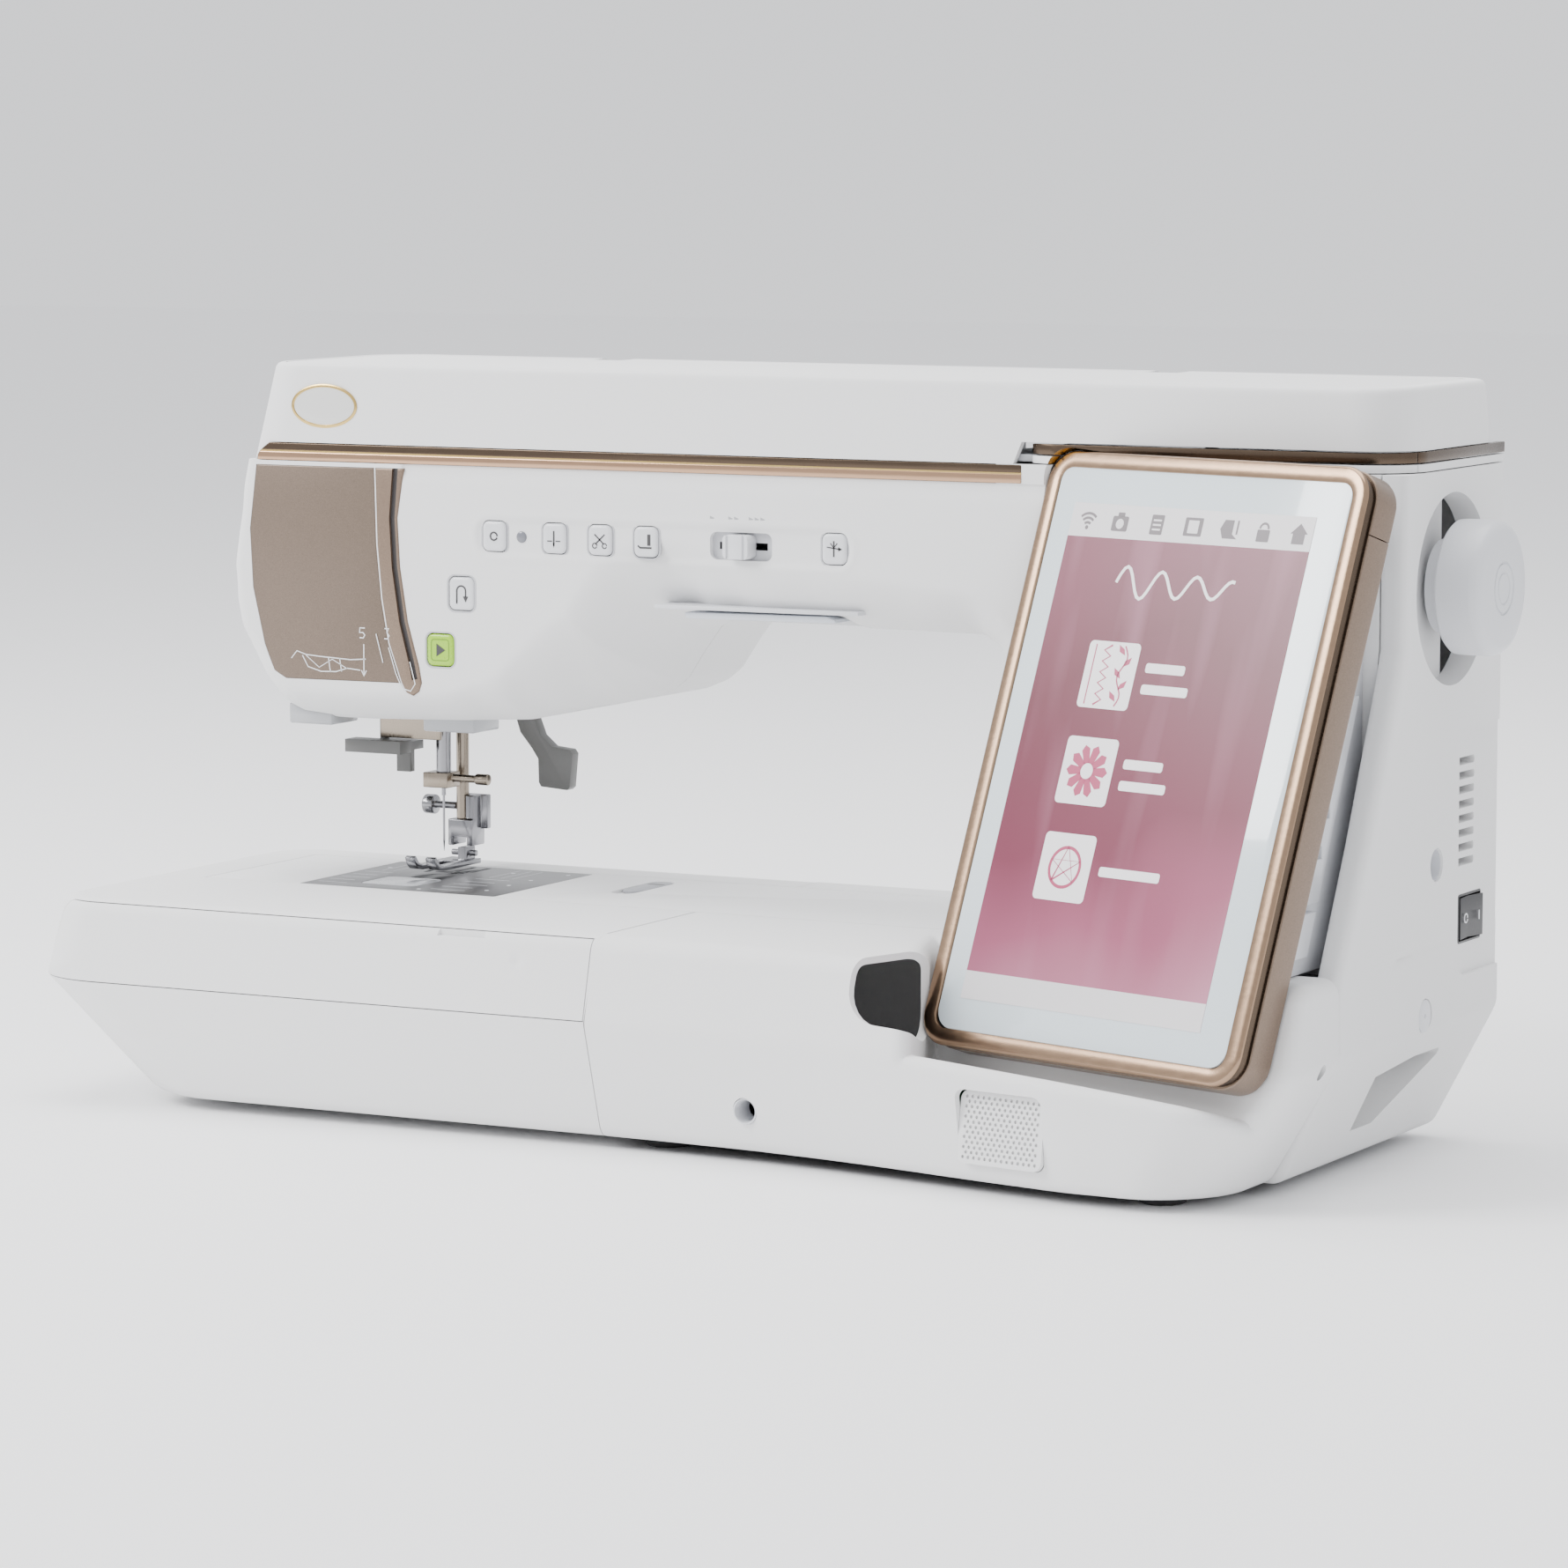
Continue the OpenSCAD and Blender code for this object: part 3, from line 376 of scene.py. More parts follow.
def paint(o, mat):
    o.data.materials.clear()
    o.data.materials.append(M[mat] if isinstance(mat, str) else mat)
    return o


def done(o, body, slot, nodes=(), mat=None, mm=True):
    if mat or not o.data.materials:
        paint(o, mat or slot)
    if mm:
        to_m(o)
    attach(o, body)
    if nodes:
        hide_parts(*nodes)
    return o


# ---------------------------------------------------------------- distance fields
def poly_sdf(pts, U, V):
    """Signed distance to a closed outline, negative inside."""
    d2 = None
    inside = None
    n = len(pts)
    for i in range(n):
        ax, ay = pts[i]
        bx, by = pts[(i + 1) % n]
        ex, ey = bx - ax, by - ay
        if ex * ex + ey * ey < 1e-12:
            continue
        wx, wy = U - ax, V - ay
        t = np.clip((wx * ex + wy * ey) / (ex * ex + ey * ey), 0, 1)
        q = (wx - ex * t) ** 2 + (wy - ey * t) ** 2
        d2 = q if d2 is None else np.minimum(d2, q)
        c1, c2, c3 = V >= ay, V < by, ex * wy > ey * wx
        s = (c1 & c2 & c3) | (~c1 & ~c2 & ~c3)
        inside = s if inside is None else inside ^ s
    return np.where(inside, -1, 1) * np.sqrt(d2)


def round_poly(pts, radii, n=7):
    out = []
    m = len(pts)
    for i in range(m):
        p, q, s = (np.array(pts[(i + k) % m], float) for k in (-1, 0, 1))
        r = radii[i] if hasattr(radii, "__len__") else radii
        u, w = (p - q) / np.linalg.norm(p - q), (s - q) / np.linalg.norm(s - q)
        ang = math.acos(np.clip(u @ w, -1, 1))
        if r <= 0 or ang > 3.1:
            out.append(tuple(q))
            continue
        t = min(r / math.tan(ang / 2), 0.49 * min(np.linalg.norm(p - q), np.linalg.norm(s - q)))
        r = t * math.tan(ang / 2)
        a, b = q + u * t, q + w * t
        mid = (u + w) / np.linalg.norm(u + w)
        c = q + mid * (r / math.sin(ang / 2))
        va, vb = a - c, b - c
        full = math.atan2(va[0] * vb[1] - va[1] * vb[0], va @ vb)
        for k in range(n + 1):
            g = full * k / n
            out.append((c[0] + va[0] * math.cos(g) - va[1] * math.sin(g),
                        c[1] + va[0] * math.sin(g) + va[1] * math.cos(g)))
    return out


def rint(a, b, r):
    """Intersection of two fields with its edge rounded to radius r."""
    return (np.minimum(np.maximum(a, b) + r, 0)
            + np.sqrt(np.maximum(a + r, 0) ** 2 + np.maximum(b + r, 0) ** 2) - r)


def hollow(F, t=3.0):
    """Wall of thickness t inside a field's surface."""
    return np.maximum(F, -(F + t))


def step01(t):
    t = np.clip(t, 0, 1)
    return t * t * (3 - 2 * t)


def axes(lo, hi, h):
    g = [np.arange(lo[i], hi[i] + h, h, dtype=np.float32) for i in range(3)]
    return g[0][:, None, None], g[1][None, :, None], g[2][None, None, :]


def field_mesh(name, F, lo, h, sharp=35):
    """Mesh of the field's zero surface, sampled from lo in steps of h."""
    F = np.clip(F, -3 * h, 3 * h).astype(np.float32)
    g = openvdb.FloatGrid(3 * h)
    g.copyFromArray(np.ascontiguousarray(F))
    v, q = g.convertToQuads(0.0)
    v = v.astype(float) * h + np.array(lo)
    a, b, c = v[q[:, 0]], v[q[:, 1]], v[q[:, 2]]
    if np.einsum("ij,ij->i", np.cross(a, b), c).sum() < 0:
        q = q[:, ::-1]
    me = bpy.data.meshes.new(name)
    me.vertices.add(len(v))
    me.vertices.foreach_set("co", v.astype(np.float32).ravel())
    me.loops.add(q.size)
    me.loops.foreach_set("vertex_index", q.astype(np.int32).ravel())
    me.polygons.add(len(q))
    me.polygons.foreach_set("loop_start", np.arange(0, q.size, 4, dtype=np.int32))
    me.update(calc_edges=True)
    me.validate()
    o = bpy.data.objects.new(name, me)
    COLL.objects.link(o)
    smooth(o, sharp)
    return o


# ---------------------------------------------------------------- head, arm and column
ARM_TOP = 286.5
COLUMN_X = 114.0
UNDER = 219.0
COLUMN_TOP = 295.0
SIDE_IN = cad("rear_cover")[1][0]
CASING_SEAM = 66.0
FAR = 420.0
BUTTON_X = [-137.9, -106.8, -83.3, -60, 34]
KEYS = [(x, 255.5, 12, 13.5) for x in BUTTON_X] + [(-155.1, 229, 13, 15), (-166.4, 203, 14, 14.5)]
SLIDER = (-12.6, 255.0)
HANDLE_X = (-137, 144)

arm_pts = [(-264, FAR), (-272, ARM_TOP), (-276, 270), (-279, 254), (-281.5, 238), (-281, 222), (-278.5, 209),
           (-274, 198), (-268, 187), (-261, 178), (-255, 172.5), (-247, 169.3), (-232, 168), (-213.5, 168),
           (-170, 169.3), (-132, 171), (-111, 176), (-88, 180), (-77, 184.5), (-70, 190), (-62, 202),
           (-53, 214), (-46, 218), (-38, UNDER)]
arm_pts += [(94 + 20 * math.cos(math.radians(a)), UNDER - 20 + 20 * math.sin(math.radians(a)))
            for a in range(90, -1, -15)]
arm_pts += [(COLUMN_X, -100), (FAR, -100), (FAR, FAR)]
# rounding of the front edge along the outline: place, reach along the face, reach in depth
EDGE = [(-279, 290, 6, 8), (-281, 250, 8, 12), (-281, 220, 9, 13), (-268, 188, 13, 16), (-247, 170, 14, 18),
        (-213, 168, 14, 18), (-170, 169, 14, 18), (-140, 170, 17, 22), (-118, 174, 30, 30), (-95, 179, 46, 40),
        (-77, 184, 54, 46), (-62, 202, 54, 46), (-49, 217, 46, 42), (-30, 219, 30, 32), (0, 219, 26, 28),
        (50, 219, 25, 27), (90, 219, 22, 24), (108, 211, 16, 18), (114, 195, 10, 10), (114, 120, 6, 6)]


def casing_field(X, Y, Z):
    d = poly_sdf(arm_pts, X, Z)
    R = D = W = 0
    for px, pz, r, dp in EDGE:
        w = 1.0 / ((X - px) ** 2 + (Z - pz) ** 2 + 60.0) ** 2
        R, D, W = R + w * r, D + w * dp, W + w
    R, D = R / W, D / W
    # shallow pill recess for the key row with its soft raised rim, and the shadow line under the trim
    pill = poly_sdf(rr(-147, 247.3, 42, 263, 7), X, Z)
    face = ARM_FRONT + 0.9 * step01(-pill / 2.2 + 0.35) - 0.35 * np.exp(-((pill - 1.6) / 1.5) ** 2)
    face = face + 1.2 * step01((Z - 278) / 8.0) * (X > -186)
    u = np.maximum(d / R + 1, 0)
    v = np.maximum((face - Y) / D + 1, 0)
    p = 1.55
    F = ((u ** p + v ** p) ** (1 / p) - 1) * np.minimum(R, D)
    return rint(F, Y - ARM_REAR, 7.0)


def casing(name, lo, hi, h):
    X, Y, Z = axes(lo, hi, h)
    return field_mesh(name, hollow(casing_field(X, Y, Z), 3.2), lo, h)


FACE_OUT = [(-264.2, 284.5), (-268, 255), (-266.6, 228), (-260.5, 202), (-255.5, 190), (-249, 186.6),
            (-187.4, 187), (-194, 205), (-197.6, 225), (-200, 250), (-200.9, 284.5)]
CHANNEL_OUT = [(-200.3, 284.5), (-199.4, 250), (-197, 225), (-193.4, 205), (-187, 187.4), (-184.5, 182.8),
               (-181, 181.4), (-177.6, 183.6), (-176.2, 187.6), (-177.6, 195), (-183.4, 215), (-187.4, 240),
               (-188.6, 262), (-185, 284.5)]
front = casing("arm_front_shell", (-284, 5, 90), (290, 68, 288), 1.25)
cuts = [block(-300, 300, CASING_SEAM - 0.2, 140, 80, 300), block(-300, 300, -10, 140, ARM_TOP, 320),
        block(SIDE_IN - 0.3, 320, -10, 140, 80, 320), block(-300, 300, -10, 140, 60, 93.3)]
# the needle and threader opening, lamps, and the lamp slot along the arm's underside
cuts += [block(-247, -180.5, 54.6, 70, 160, 180), block(-256, -232, 20, 44, 160, 180),
         block(-190, -162, 30, 54, 160, 180)]
cuts += [prism("t", [(-46, 221), (-43, 224.4), (27, 225.6), (32, 224.6), (37, 220.5), (44, 215), (-46, 206)],
               "y", 2, 44)]
cuts += [prism("t", rr(x - w / 2 - 0.45, z - k / 2 - 0.45, x + w / 2 + 0.45, z + k / 2 + 0.45, 3.3), "y", 0, 20)
         for x, z, w, k in KEYS]
cuts += [prism("t", rr(SLIDER[0] - 15.5, SLIDER[1] - 6.2, SLIDER[0] + 15.5, SLIDER[1] + 6.2, 3.4), "y", 0, 20)]
cuts += [prism("t", FACE_OUT, "y", 0, ARM_FRONT + 1.9), prism("t", CHANNEL_OUT, "y", 0, ARM_FRONT + 1.9)]
bool_op(front, cuts)
column_cap = block(112, SIDE_IN - 0.3, ARM_FRONT + 0.4, CASING_SEAM - 0.2, ARM_TOP - 0.01, COLUMN_TOP)
bool_op(column_cap, [block(115.2, SIDE_IN - 3.3, ARM_FRONT + 3.4, 90, 280, 300)])
front = join("arm_front_shell", [front, column_cap])
SCREEN_ROOM = prism("screen_room", rr(-87.6, -130.1, 92.1, 131.6, 14.5, 14), "z", SCREEN_BACK, 300)
SCREEN_ROOM.data.transform(SCREEN)
bool_op(front, [SCREEN_ROOM], keep=True)
done(front, "machine", "white_gloss", ["arm_front_cover"])

rear = casing("rear_shell", (-284, 62, 90), (290, 126, 288), 1.8)
cuts = [block(-300, 300, -10, CASING_SEAM + 0.2, 80, 300), block(-300, 300, -10, 140, ARM_TOP, 320),
        block(SIDE_IN - 0.3, 320, -10, 140, 80, 320), block(-300, 300, -10, 140, 60, 93.3),
        block(HANDLE_X[0] - 17, HANDLE_X[1] + 17, 111, 140, 238, 290),
        block(-247, -180.5, 60, 91, 160, 180), block(-188.3, -148, 94, 106, 160, 180)]
bool_op(rear, cuts)
top_rim = block(-262, SIDE_IN - 0.3, 118.5, ARM_REAR, ARM_TOP - 0.01, COLUMN_TOP)
bool_op(top_rim, [block(x - 11.5, x + 11.5, 111, 140, 238, 310) for x in HANDLE_X])
column_rim = block(112, SIDE_IN - 0.3, CASING_SEAM + 0.2, 118.4, ARM_TOP - 0.01, COLUMN_TOP)
bool_op(column_rim, [block(115.2, SIDE_IN - 3.3, 60, 130, 280, 300)])
pocket = [block(HANDLE_X[0] - 20, HANDLE_X[1] + 20, 107.5, 110.6, 235, ARM_TOP),
          block(HANDLE_X[0] - 20, HANDLE_X[1] + 20, 110.6, 119.6, 235, 237.6)]
low_rear = prism("t", round_poly([(96.3, 5), (118, 5), (125, CREASE), (121, BED_TOP), (96.3, BED_TOP)],
                                 [0, 5, 3, 5, 0]), "x", SEAM_X + 0.6, 261.3)
bool_op(low_rear, [prism("t", [(90, 8), (115, 8), (121.6, CREASE), (118, BED_TOP - 3), (90, BED_TOP - 3)],
                         "x", SEAM_X + 3.6, 258)])
rear_vents = [prism("t", rr(150, 120 + 8 * i, 250, 123.6 + 8 * i, 1.5), "y", 112, 140) for i in range(8)]
rear = join("rear_shell", [rear, top_rim, column_rim, *pocket, low_rear])
bool_op(rear, rear_vents)
done(rear, "machine", "white_gloss", ["rear_cover"])

# ---------------------------------------------------------------- bed: slide-off case
bed_yz = round_poly([(-76.3, -40), (111.8, -40), (125, CREASE), (115.9, 140), (-76.6, 140), (-97, CREASE)],
                    [0, 0, 2.5, 0, 0, 1.2])
bed_xz = round_poly([(-226, -40), (60, -40), (60, 140), (-312.6, 140), (BED_LEFT, CREASE)], [0, 0, 0, 0, 1.5])


def bed_field(X, Y, Z):
    F = rint(poly_sdf(bed_yz, Y, Z), poly_sdf(bed_xz, X, Z), 27.0)
    F = rint(rint(F, Z - BED_TOP, 6.0), 5 - Z, 5.0)
    return F + 1.1 * np.exp(-(((X + 69) ** 2 + (Z - 80) ** 2) / 5.0)) * (Y < -60)


lo, h = (-327, -100, 2), 1.5
X, Y, Z = axes(lo, (-20, 128, 97), h)
solid = bed_field(X, Y, Z)
case = field_mesh("bed_case", hollow(solid), lo, h)
door = case.copy()
door.data = case.data.copy()
door.name = "case_door"
COLL.objects.link(door)
seam_v = [(SEAM_X + 1.2, 0), (SEAM_X - 1.6, CREASE), (SEAM_X + 1.2, BED_TOP + 5), (40, BED_TOP + 5), (40, 0)]
DOOR_TOP = BED_TOP - 1.9
door_low, door_right = CREASE + 1.0, SEAM_X - 2.2
bool_op(case, [prism("t", seam_v, "y", -150, 150), block(-289.6, 0, -0.3, 96.3, 0, BED_TOP + 5),
               block(BED_LEFT - 5, door_right + 0.5, -120, -82.2, door_low - 0.5, DOOR_TOP + 0.45)])
bool_op(door, [prism("t", seam_v, "y", -150, 150), block(door_right, 40, -150, 150, 0, 120),
               block(-400, 40, -82.7, 150, 0, 120), block(-400, 40, -150, 150, 0, door_low),
               block(-400, 40, -150, 150, DOOR_TOP, 120),
               prism("t", [(-113, -100), (-84, -100), (-87, -86.7), (-110, -86.7)], "z", BED_TOP - 4.8, 120)])
done(case, "flat_bed", "white_satin", ["accessory_case"])
done(door, "storage_door", "white_satin", ["accessory_door"])

# ---------------------------------------------------------------- free arm
fa = block(-289, COLUMN_X - 0.5, 0.3, 95.7, 8.3, BED_TOP, "free_arm_skin")
bool_op(fa, [block(-286, COLUMN_X, 3.3, 92.7, 8, BED_TOP - 3),
             prism("t", rr(-239.7, 2.5, -135.7, 93.0, 1.5), "z", BED_TOP - 4, BED_TOP + 1),
             prism("t", rr(-98.2, 38.8, -85.8, 85.2, 6.1), "z", BED_TOP - 1.5, BED_TOP + 1)])
bevel(fa, 0.5, 2)
done(fa, "machine", "white_satin", ["free_arm_cover"])

# ---------------------------------------------------------------- fixed base under the screen
FX = [-60, -31, 5, 43, 80, 112, 159, 204, 240, 270, 310]
FY = [-96.6, -97.0, -98.2, -100.4, -104.6, -110, -117.6, -123.4, -125, -125, -124]
LOW = [11, 11, 11, 11, 10.4, 10, 7.5, 5.0, 6, 12, 16]


def smooth_interp(x, xs, ys):
    k = np.interp(x, xs, ys)
    for s in (9, 5):
        k = (np.interp(x - s, xs, ys) + 2 * k + np.interp(x + s, xs, ys)) / 4
    return k


lo, h = (-36, -128, 2), 1.5
X, Y, Z = axes(lo, (304, 14, 97), h)
fy = smooth_interp(X, FX, FY)
slope = np.gradient(fy[:, 0, 0], h)[:, None, None]
s = (Y - fy) / np.sqrt(1 + slope ** 2)
s = s - np.where(Z < CREASE, (smooth_interp(X, FX, LOW) / 11.0 - 1) * 11.0 * (CREASE - Z) / 51.0, 0)
base_prof = round_poly([(20.7, -40), (260, -40), (260, 140), (19.3, 140), (0, CREASE)], [0, 0, 0, 0, 14])
side_prof = round_poly([(-200, -40), (243.7, -40), (SIDE_X, 58), (SIDE_X - 1, 140), (-200, 140)], [0, 0, 14, 0, 0])
F = rint(poly_sdf(base_prof, s, Z), poly_sdf(side_prof, X, Z), 34.0)
F = rint(rint(F, Z - BED_TOP, 7.0), 5 - Z, 5.0)
# the base keeps a wall behind the leaning screen: distance to the room that is cut away for it
to_local = SCREEN.inverted()
lx, ly, lz = (to_local[i][0] * X + to_local[i][1] * Y + to_local[i][2] * Z + to_local[i][3] for i in range(3))
room = np.maximum(np.maximum(SCREEN_BACK - lz, -((X - 117.5) * 0.952 + (Y + 70.5) * 0.304)), -139 - ly)
base = field_mesh("base_shell", hollow(rint(F, -room, 8.0)), lo, h)
snug = prism("t", rr(-87.9, -130.4, 92.4, 131.9, 14.5), "z", SCREEN_BACK, 60)
snug.data.transform(SCREEN)
bool_op(base, [snug])
grille_at = Matrix.Translation((175, -116.3, 29)) @ Matrix.Rotation(math.radians(-9.9), 4, "Z") @ \
    Matrix.Rotation(math.radians(82.5), 4, "X")
grille_hole = prism("t", rr(-21.4, -15.4, 21.4, 15.4, 4.2), "z", -6, 20)
grille_hole.data.transform(grille_at)
seam_base = [(-100, 0), (SEAM_X + 1.7, 0), (SEAM_X - 1.1, CREASE), (SEAM_X + 1.7, 130), (-100, 130)]
bool_op(base, [prism("t", seam_base, "y", -150, 150),
               block(-100, COLUMN_X + 0.2, -0.5, 60, 0, 130), block(COLUMN_X, 310, 7.6, 60, 0, 130),
               block(261.7, 400, -58.3, 60, 0, 130), grille_hole,
               lathe("t", [(-130, 5.9), (-60, 5.9)], (44.2, 23.4), "y"),
               lathe("t", [(270, 3.3), (320, 3.3)], (-73, 56.2), "x")])
done(base, "machine", "white_satin", ["bed_front_cover"])

# ---------------------------------------------------------------- lid
LID_TOP = cad("lid_shell")[1][2]
lo, h = (-279, 5, 284), 1.25
X, Y, Z = axes(lo, (304, 128, 334), h)
dx = np.maximum((-275.0 + 0.245 * (Z - 287)) - X, X - (300.5 - 0.1 * (Z - 300)))
dy = np.maximum(ARM_FRONT + 0.035 * (Z - 287) - Y, Y - 125)
F = rint(rint(dx, dy, 24.0), Z - LID_TOP, 2.6)
lid = field_mesh("lid_shell_skin", hollow(F, 3.5), lo, h)
cut_low = [(-300, 270), (-300, 287.2), (-267, 287.2), (-264.2, 288.6), (-261.2, 292.6), (-257.2, 294.7), (-252, 295),
           (COLUMN_X + 6, 295), (COLUMN_X + 10, 304.6), (320, 304.6), (320, 270)]
bool_op(lid, [prism("t", cut_low, "y", -10, 140), block(-300, 310, 115, 140, 270, 302)]
        + [block(x - 8, x + 8, 107.5, 140, 270, 340) for x in HANDLE_X]
        + [block(x - 6, x + 6, 118, 140, 280, 310) for x in (-200, 200)]
        + [prism("t", rr(-258, 11.2, 288.6, 119, 18, 12), "z", LID_TOP - 2.2, LID_TOP + 5)])
done(lid, "lid", "white_gloss", ["lid_shell"])
panel = prism("lid_top_panel", rr(-257.6, 11.6, 288.2, 118.6, 17.6, 12), "z", LID_TOP - 2.1, LID_TOP - 0.1)
bool_op(panel, [block(x - 8.3, x + 8.3, 107.2, 140, 270, 340) for x in HANDLE_X])
bevel(panel, 0.6, 2)
done(panel, "lid", "lid_brown", ["lid_panel"])

# ---------------------------------------------------------------- side cover
lo, h = (258, -62, 2), 1.4
X, Y, Z = axes(lo, (304, 127, 298), h)
plate_yz = round_poly([(8.5, 92), (123, 92), (123, 340), (8.5, 340), (8.5, 222), (4, 210), (-27, 145),
                       (-58.6, 86), (-58.6, 70)], [0, 0, 0, 0, 3, 3, 20, 12, 0])
plate_f = rint(np.maximum(poly_sdf(plate_yz, Y, Z), 289.7 - X), X - SIDE_X, 5.0)
low_yz = round_poly([(-57.9, -40), (105.8, -40), (123, CREASE), (123, 100), (-57.9, 90)], [0, 0, 3, 0, 0])
low_xz = round_poly([(261.7, -40), (253.2, -40), (SIDE_X, 60), (SIDE_X, 110), (261.7, 110)], [0, 0, 12, 0, 0])
dl = rint(rint(poly_sdf(low_yz, Y, Z), poly_sdf(low_xz, X, Z), 4.0), 5 - Z, 4.0)
dl = np.maximum(dl, Z - np.where(Y < -20, 88, 96))
k = 6.0
F = np.minimum(plate_f, dl) - np.maximum(k - np.abs(plate_f - dl), 0) ** 2 / (4 * k) * (X < SIDE_X - 3)
side = field_mesh("side_shell", F, lo, h)
inlet_pocket = block(255, 279.7, -24.3, 1.0, 19.1, 43.9)
dish = lathe("t", [(-9, 41), (0, 41), (30, 43)], (0, 0), "x", 96)
dish.data.transform(Matrix.Translation((SIDE_X - 0.6, WHEEL[1], WHEEL[2] - 1))
                    @ Matrix.Rotation(math.radians(6.5), 4, "Z"))
vents = [prism("t", rr(75, 124 + 6.2 * i, 95, 127.4 + 6.2 * i, 1.2), "x", 285, 305) for i in range(8)]
vent_recess = prism("t", round_poly([(72, 77), (130, 77), (130, 184), (72, 184)], [9, 0, 0, 12]),
                    "x", SIDE_X - 2.2, 310)
scoop = prism("t", round_poly([(0.9, 19.6), (24, 19.6), (75, 47), (40, 47), (0.9, 43.4)], [0, 4, 2, 12, 0]), "x", 268,
              310)
bool_op(side, [block(255, 305, -80, -57.9, 0, 300), block(255, 305, -80, 140, COLUMN_TOP, 320)]
        + [inlet_pocket, dish, vent_recess] + vents
        + [prism("t", rr(77.6, 90.3, 104.4, 111.7, 1.5), "x", 285, 305),
           lathe("t", [(SIDE_X - 8, 7.2), (310, 7.2)], (47.2, 128.2), "x"),
           lathe("t", [(SIDE_X - 1.0, 7.5), (310, 7.5)], (36.3, 65), "x"),
           lathe("t", [(SIDE_X - 9, 7), (310, 7)], (WHEEL[1], WHEEL[2]), "x"), scoop])
bool_op(side, [SCREEN_ROOM], keep=True)
done(side, "machine", "white_satin", ["side_cover"])

# ---------------------------------------------------------------- trim strips
def trim_outline(z0, z1, right=124.0):
    left = lambda z: -263.6 + 6.4 * max(0.0, min(1.0, (z - 288.4) / 6.2)) ** 1.6
    zs = [z0 + (z1 - z0) * i / 4 for i in range(5)]
    return [(right, z0), (right, z1)] + [(left(z), z) for z in reversed(zs)]


# the upper band is flat and stands for the strip's top bevel: its dark bronze is painted shade of that bevel
BANDS = [("trim_copper_band", 286.7, 290.7, 0.9, "bronze_chrome"), ("trim_dark_band", 291.2, 294.7, 1.2, "bronze_dark")]
front_groove = prism("trim_light_line", trim_outline(290.5, 291.4), "y", ARM_FRONT + 0.2, 12)
paint(front_groove, "gold")
band_objs = []
for name, z0, z1, inset_y, mat in BANDS:
    o = prism(name, trim_outline(z0, z1), "y", ARM_FRONT - 0.6 + inset_y * 0.5, 12.8)
    band_objs.append(paint(bevel(o, 0.5, 3), mat))
side_bands = []
# on the column side the upper, dark band is likewise painted shade of the trim's top bevel
for z0, z1, mat in ((295.5, 298.8, "bronze_chrome"), (299.4, 303.9, "bronze_dark")):
    outer = prism("t", rr(116, ARM_FRONT, SIDE_X - 0.2, 220, 25, 12), "z", z0, z1)
    bool_op(outer, [prism("t", rr(90, ARM_FRONT + 4, SIDE_X - 4, 260, 21, 12), "z", 280, 320),
                    block(0, 400, 121, 400, 280, 320), block(100, 200, 40, 300, 280, 320),
                    block(290, 310, 24.6, 25.2, 280, 320)])
    side_bands.append(paint(bevel(outer, 0.4, 2), mat))
trim = join("trim_strips_form", [front_groove, *band_objs, *side_bands])
bool_op(trim, [SCREEN_ROOM], keep=True)
done(trim, "machine", "bronze_chrome", ["trim_strips"])

# ---------------------------------------------------------------- screen
def to_screen(o):
    o.data.transform(SCREEN)
    return o


def ring_loft(name, outline, prof, mats, sharp=28):
    """Closed ring swept from an outline by inset and height; prof is (inset, z, material)."""
    loops = [[(x, y, z) for x, y in outline(d)] for d, z, _ in prof]
    loops.append(loops[0])
    n = len(loops[0])
    v = [p for lp in loops[:-1] for p in lp]
    f = []
    m = len(prof)
    for k in range(m):
        for i in range(n):
            a, b = k * n, ((k + 1) % m) * n
            f.append((a + i, a + (i + 1) % n, b + (i + 1) % n, b + i))
    o = obj_from(name, v, f, sharp)
    for mat in mats:
        o.data.materials.append(M[mat])
    for k in range(m):
        for i in range(n):
            o.data.polygons[k * n + i].material_index = prof[k][2]
    bm = bmesh.new()
    bm.from_mesh(o.data)
    bmesh.ops.recalc_face_normals(bm, faces=bm.faces)
    bm.to_mesh(o.data)
    bm.free()
    smooth(o, sharp)
    return o


def bezel_outline(d):
    return rr(-87 + d, -129.5 + d, 91.5 - d, 131 - d, max(14 - d, 1.0), 14)


SATIN, DARK, EDGE_BRIGHT, INNER = 0, 1, 2, 3
bezel_prof = [(2.0, -20, SATIN), (0.5, -19.4, SATIN), (0, -18, SATIN), (0, -6.4, SATIN), (0.5, -6.0, DARK),
              (1.3, -5.8, DARK), (1.3, -1.2, DARK), (0.4, -1.0, EDGE_BRIGHT), (0.0, -0.5, EDGE_BRIGHT),
              (0.0, 0.3, EDGE_BRIGHT), (0.5, 1.1, EDGE_BRIGHT), (1.4, 1.5, EDGE_BRIGHT), (6.4, 1.5, EDGE_BRIGHT),
              (7.2, 1.2, EDGE_BRIGHT), (7.6, 0.3, INNER), (7.7, -2.3, INNER), (10.6, -2.4, INNER), (10.8, -19.4, INNER)]
bezel = ring_loft("screen_bezel_form", bezel_outline, bezel_prof,
                  ["bronze_side", "bronze_dark", "bronze_edge", "black_plastic"])
notch = block(88.6, 93, 104, 104.5, -25, -6)
bool_op(bezel, [notch])
done(to_screen(bezel), "machine", "bronze_paint", ["screen_bezel"])
glass = prism("screen_glass_form", rr(-79.2, -122.2, 84.2, 126.2, 8.9, 12), "z", -2.0, 0.9)
bevel(glass, 0.5, 2)
done(to_screen(glass), "machine", "bezel_glass", ["screen_glass"])

UI_W, UI_H = 67.8, 108.5


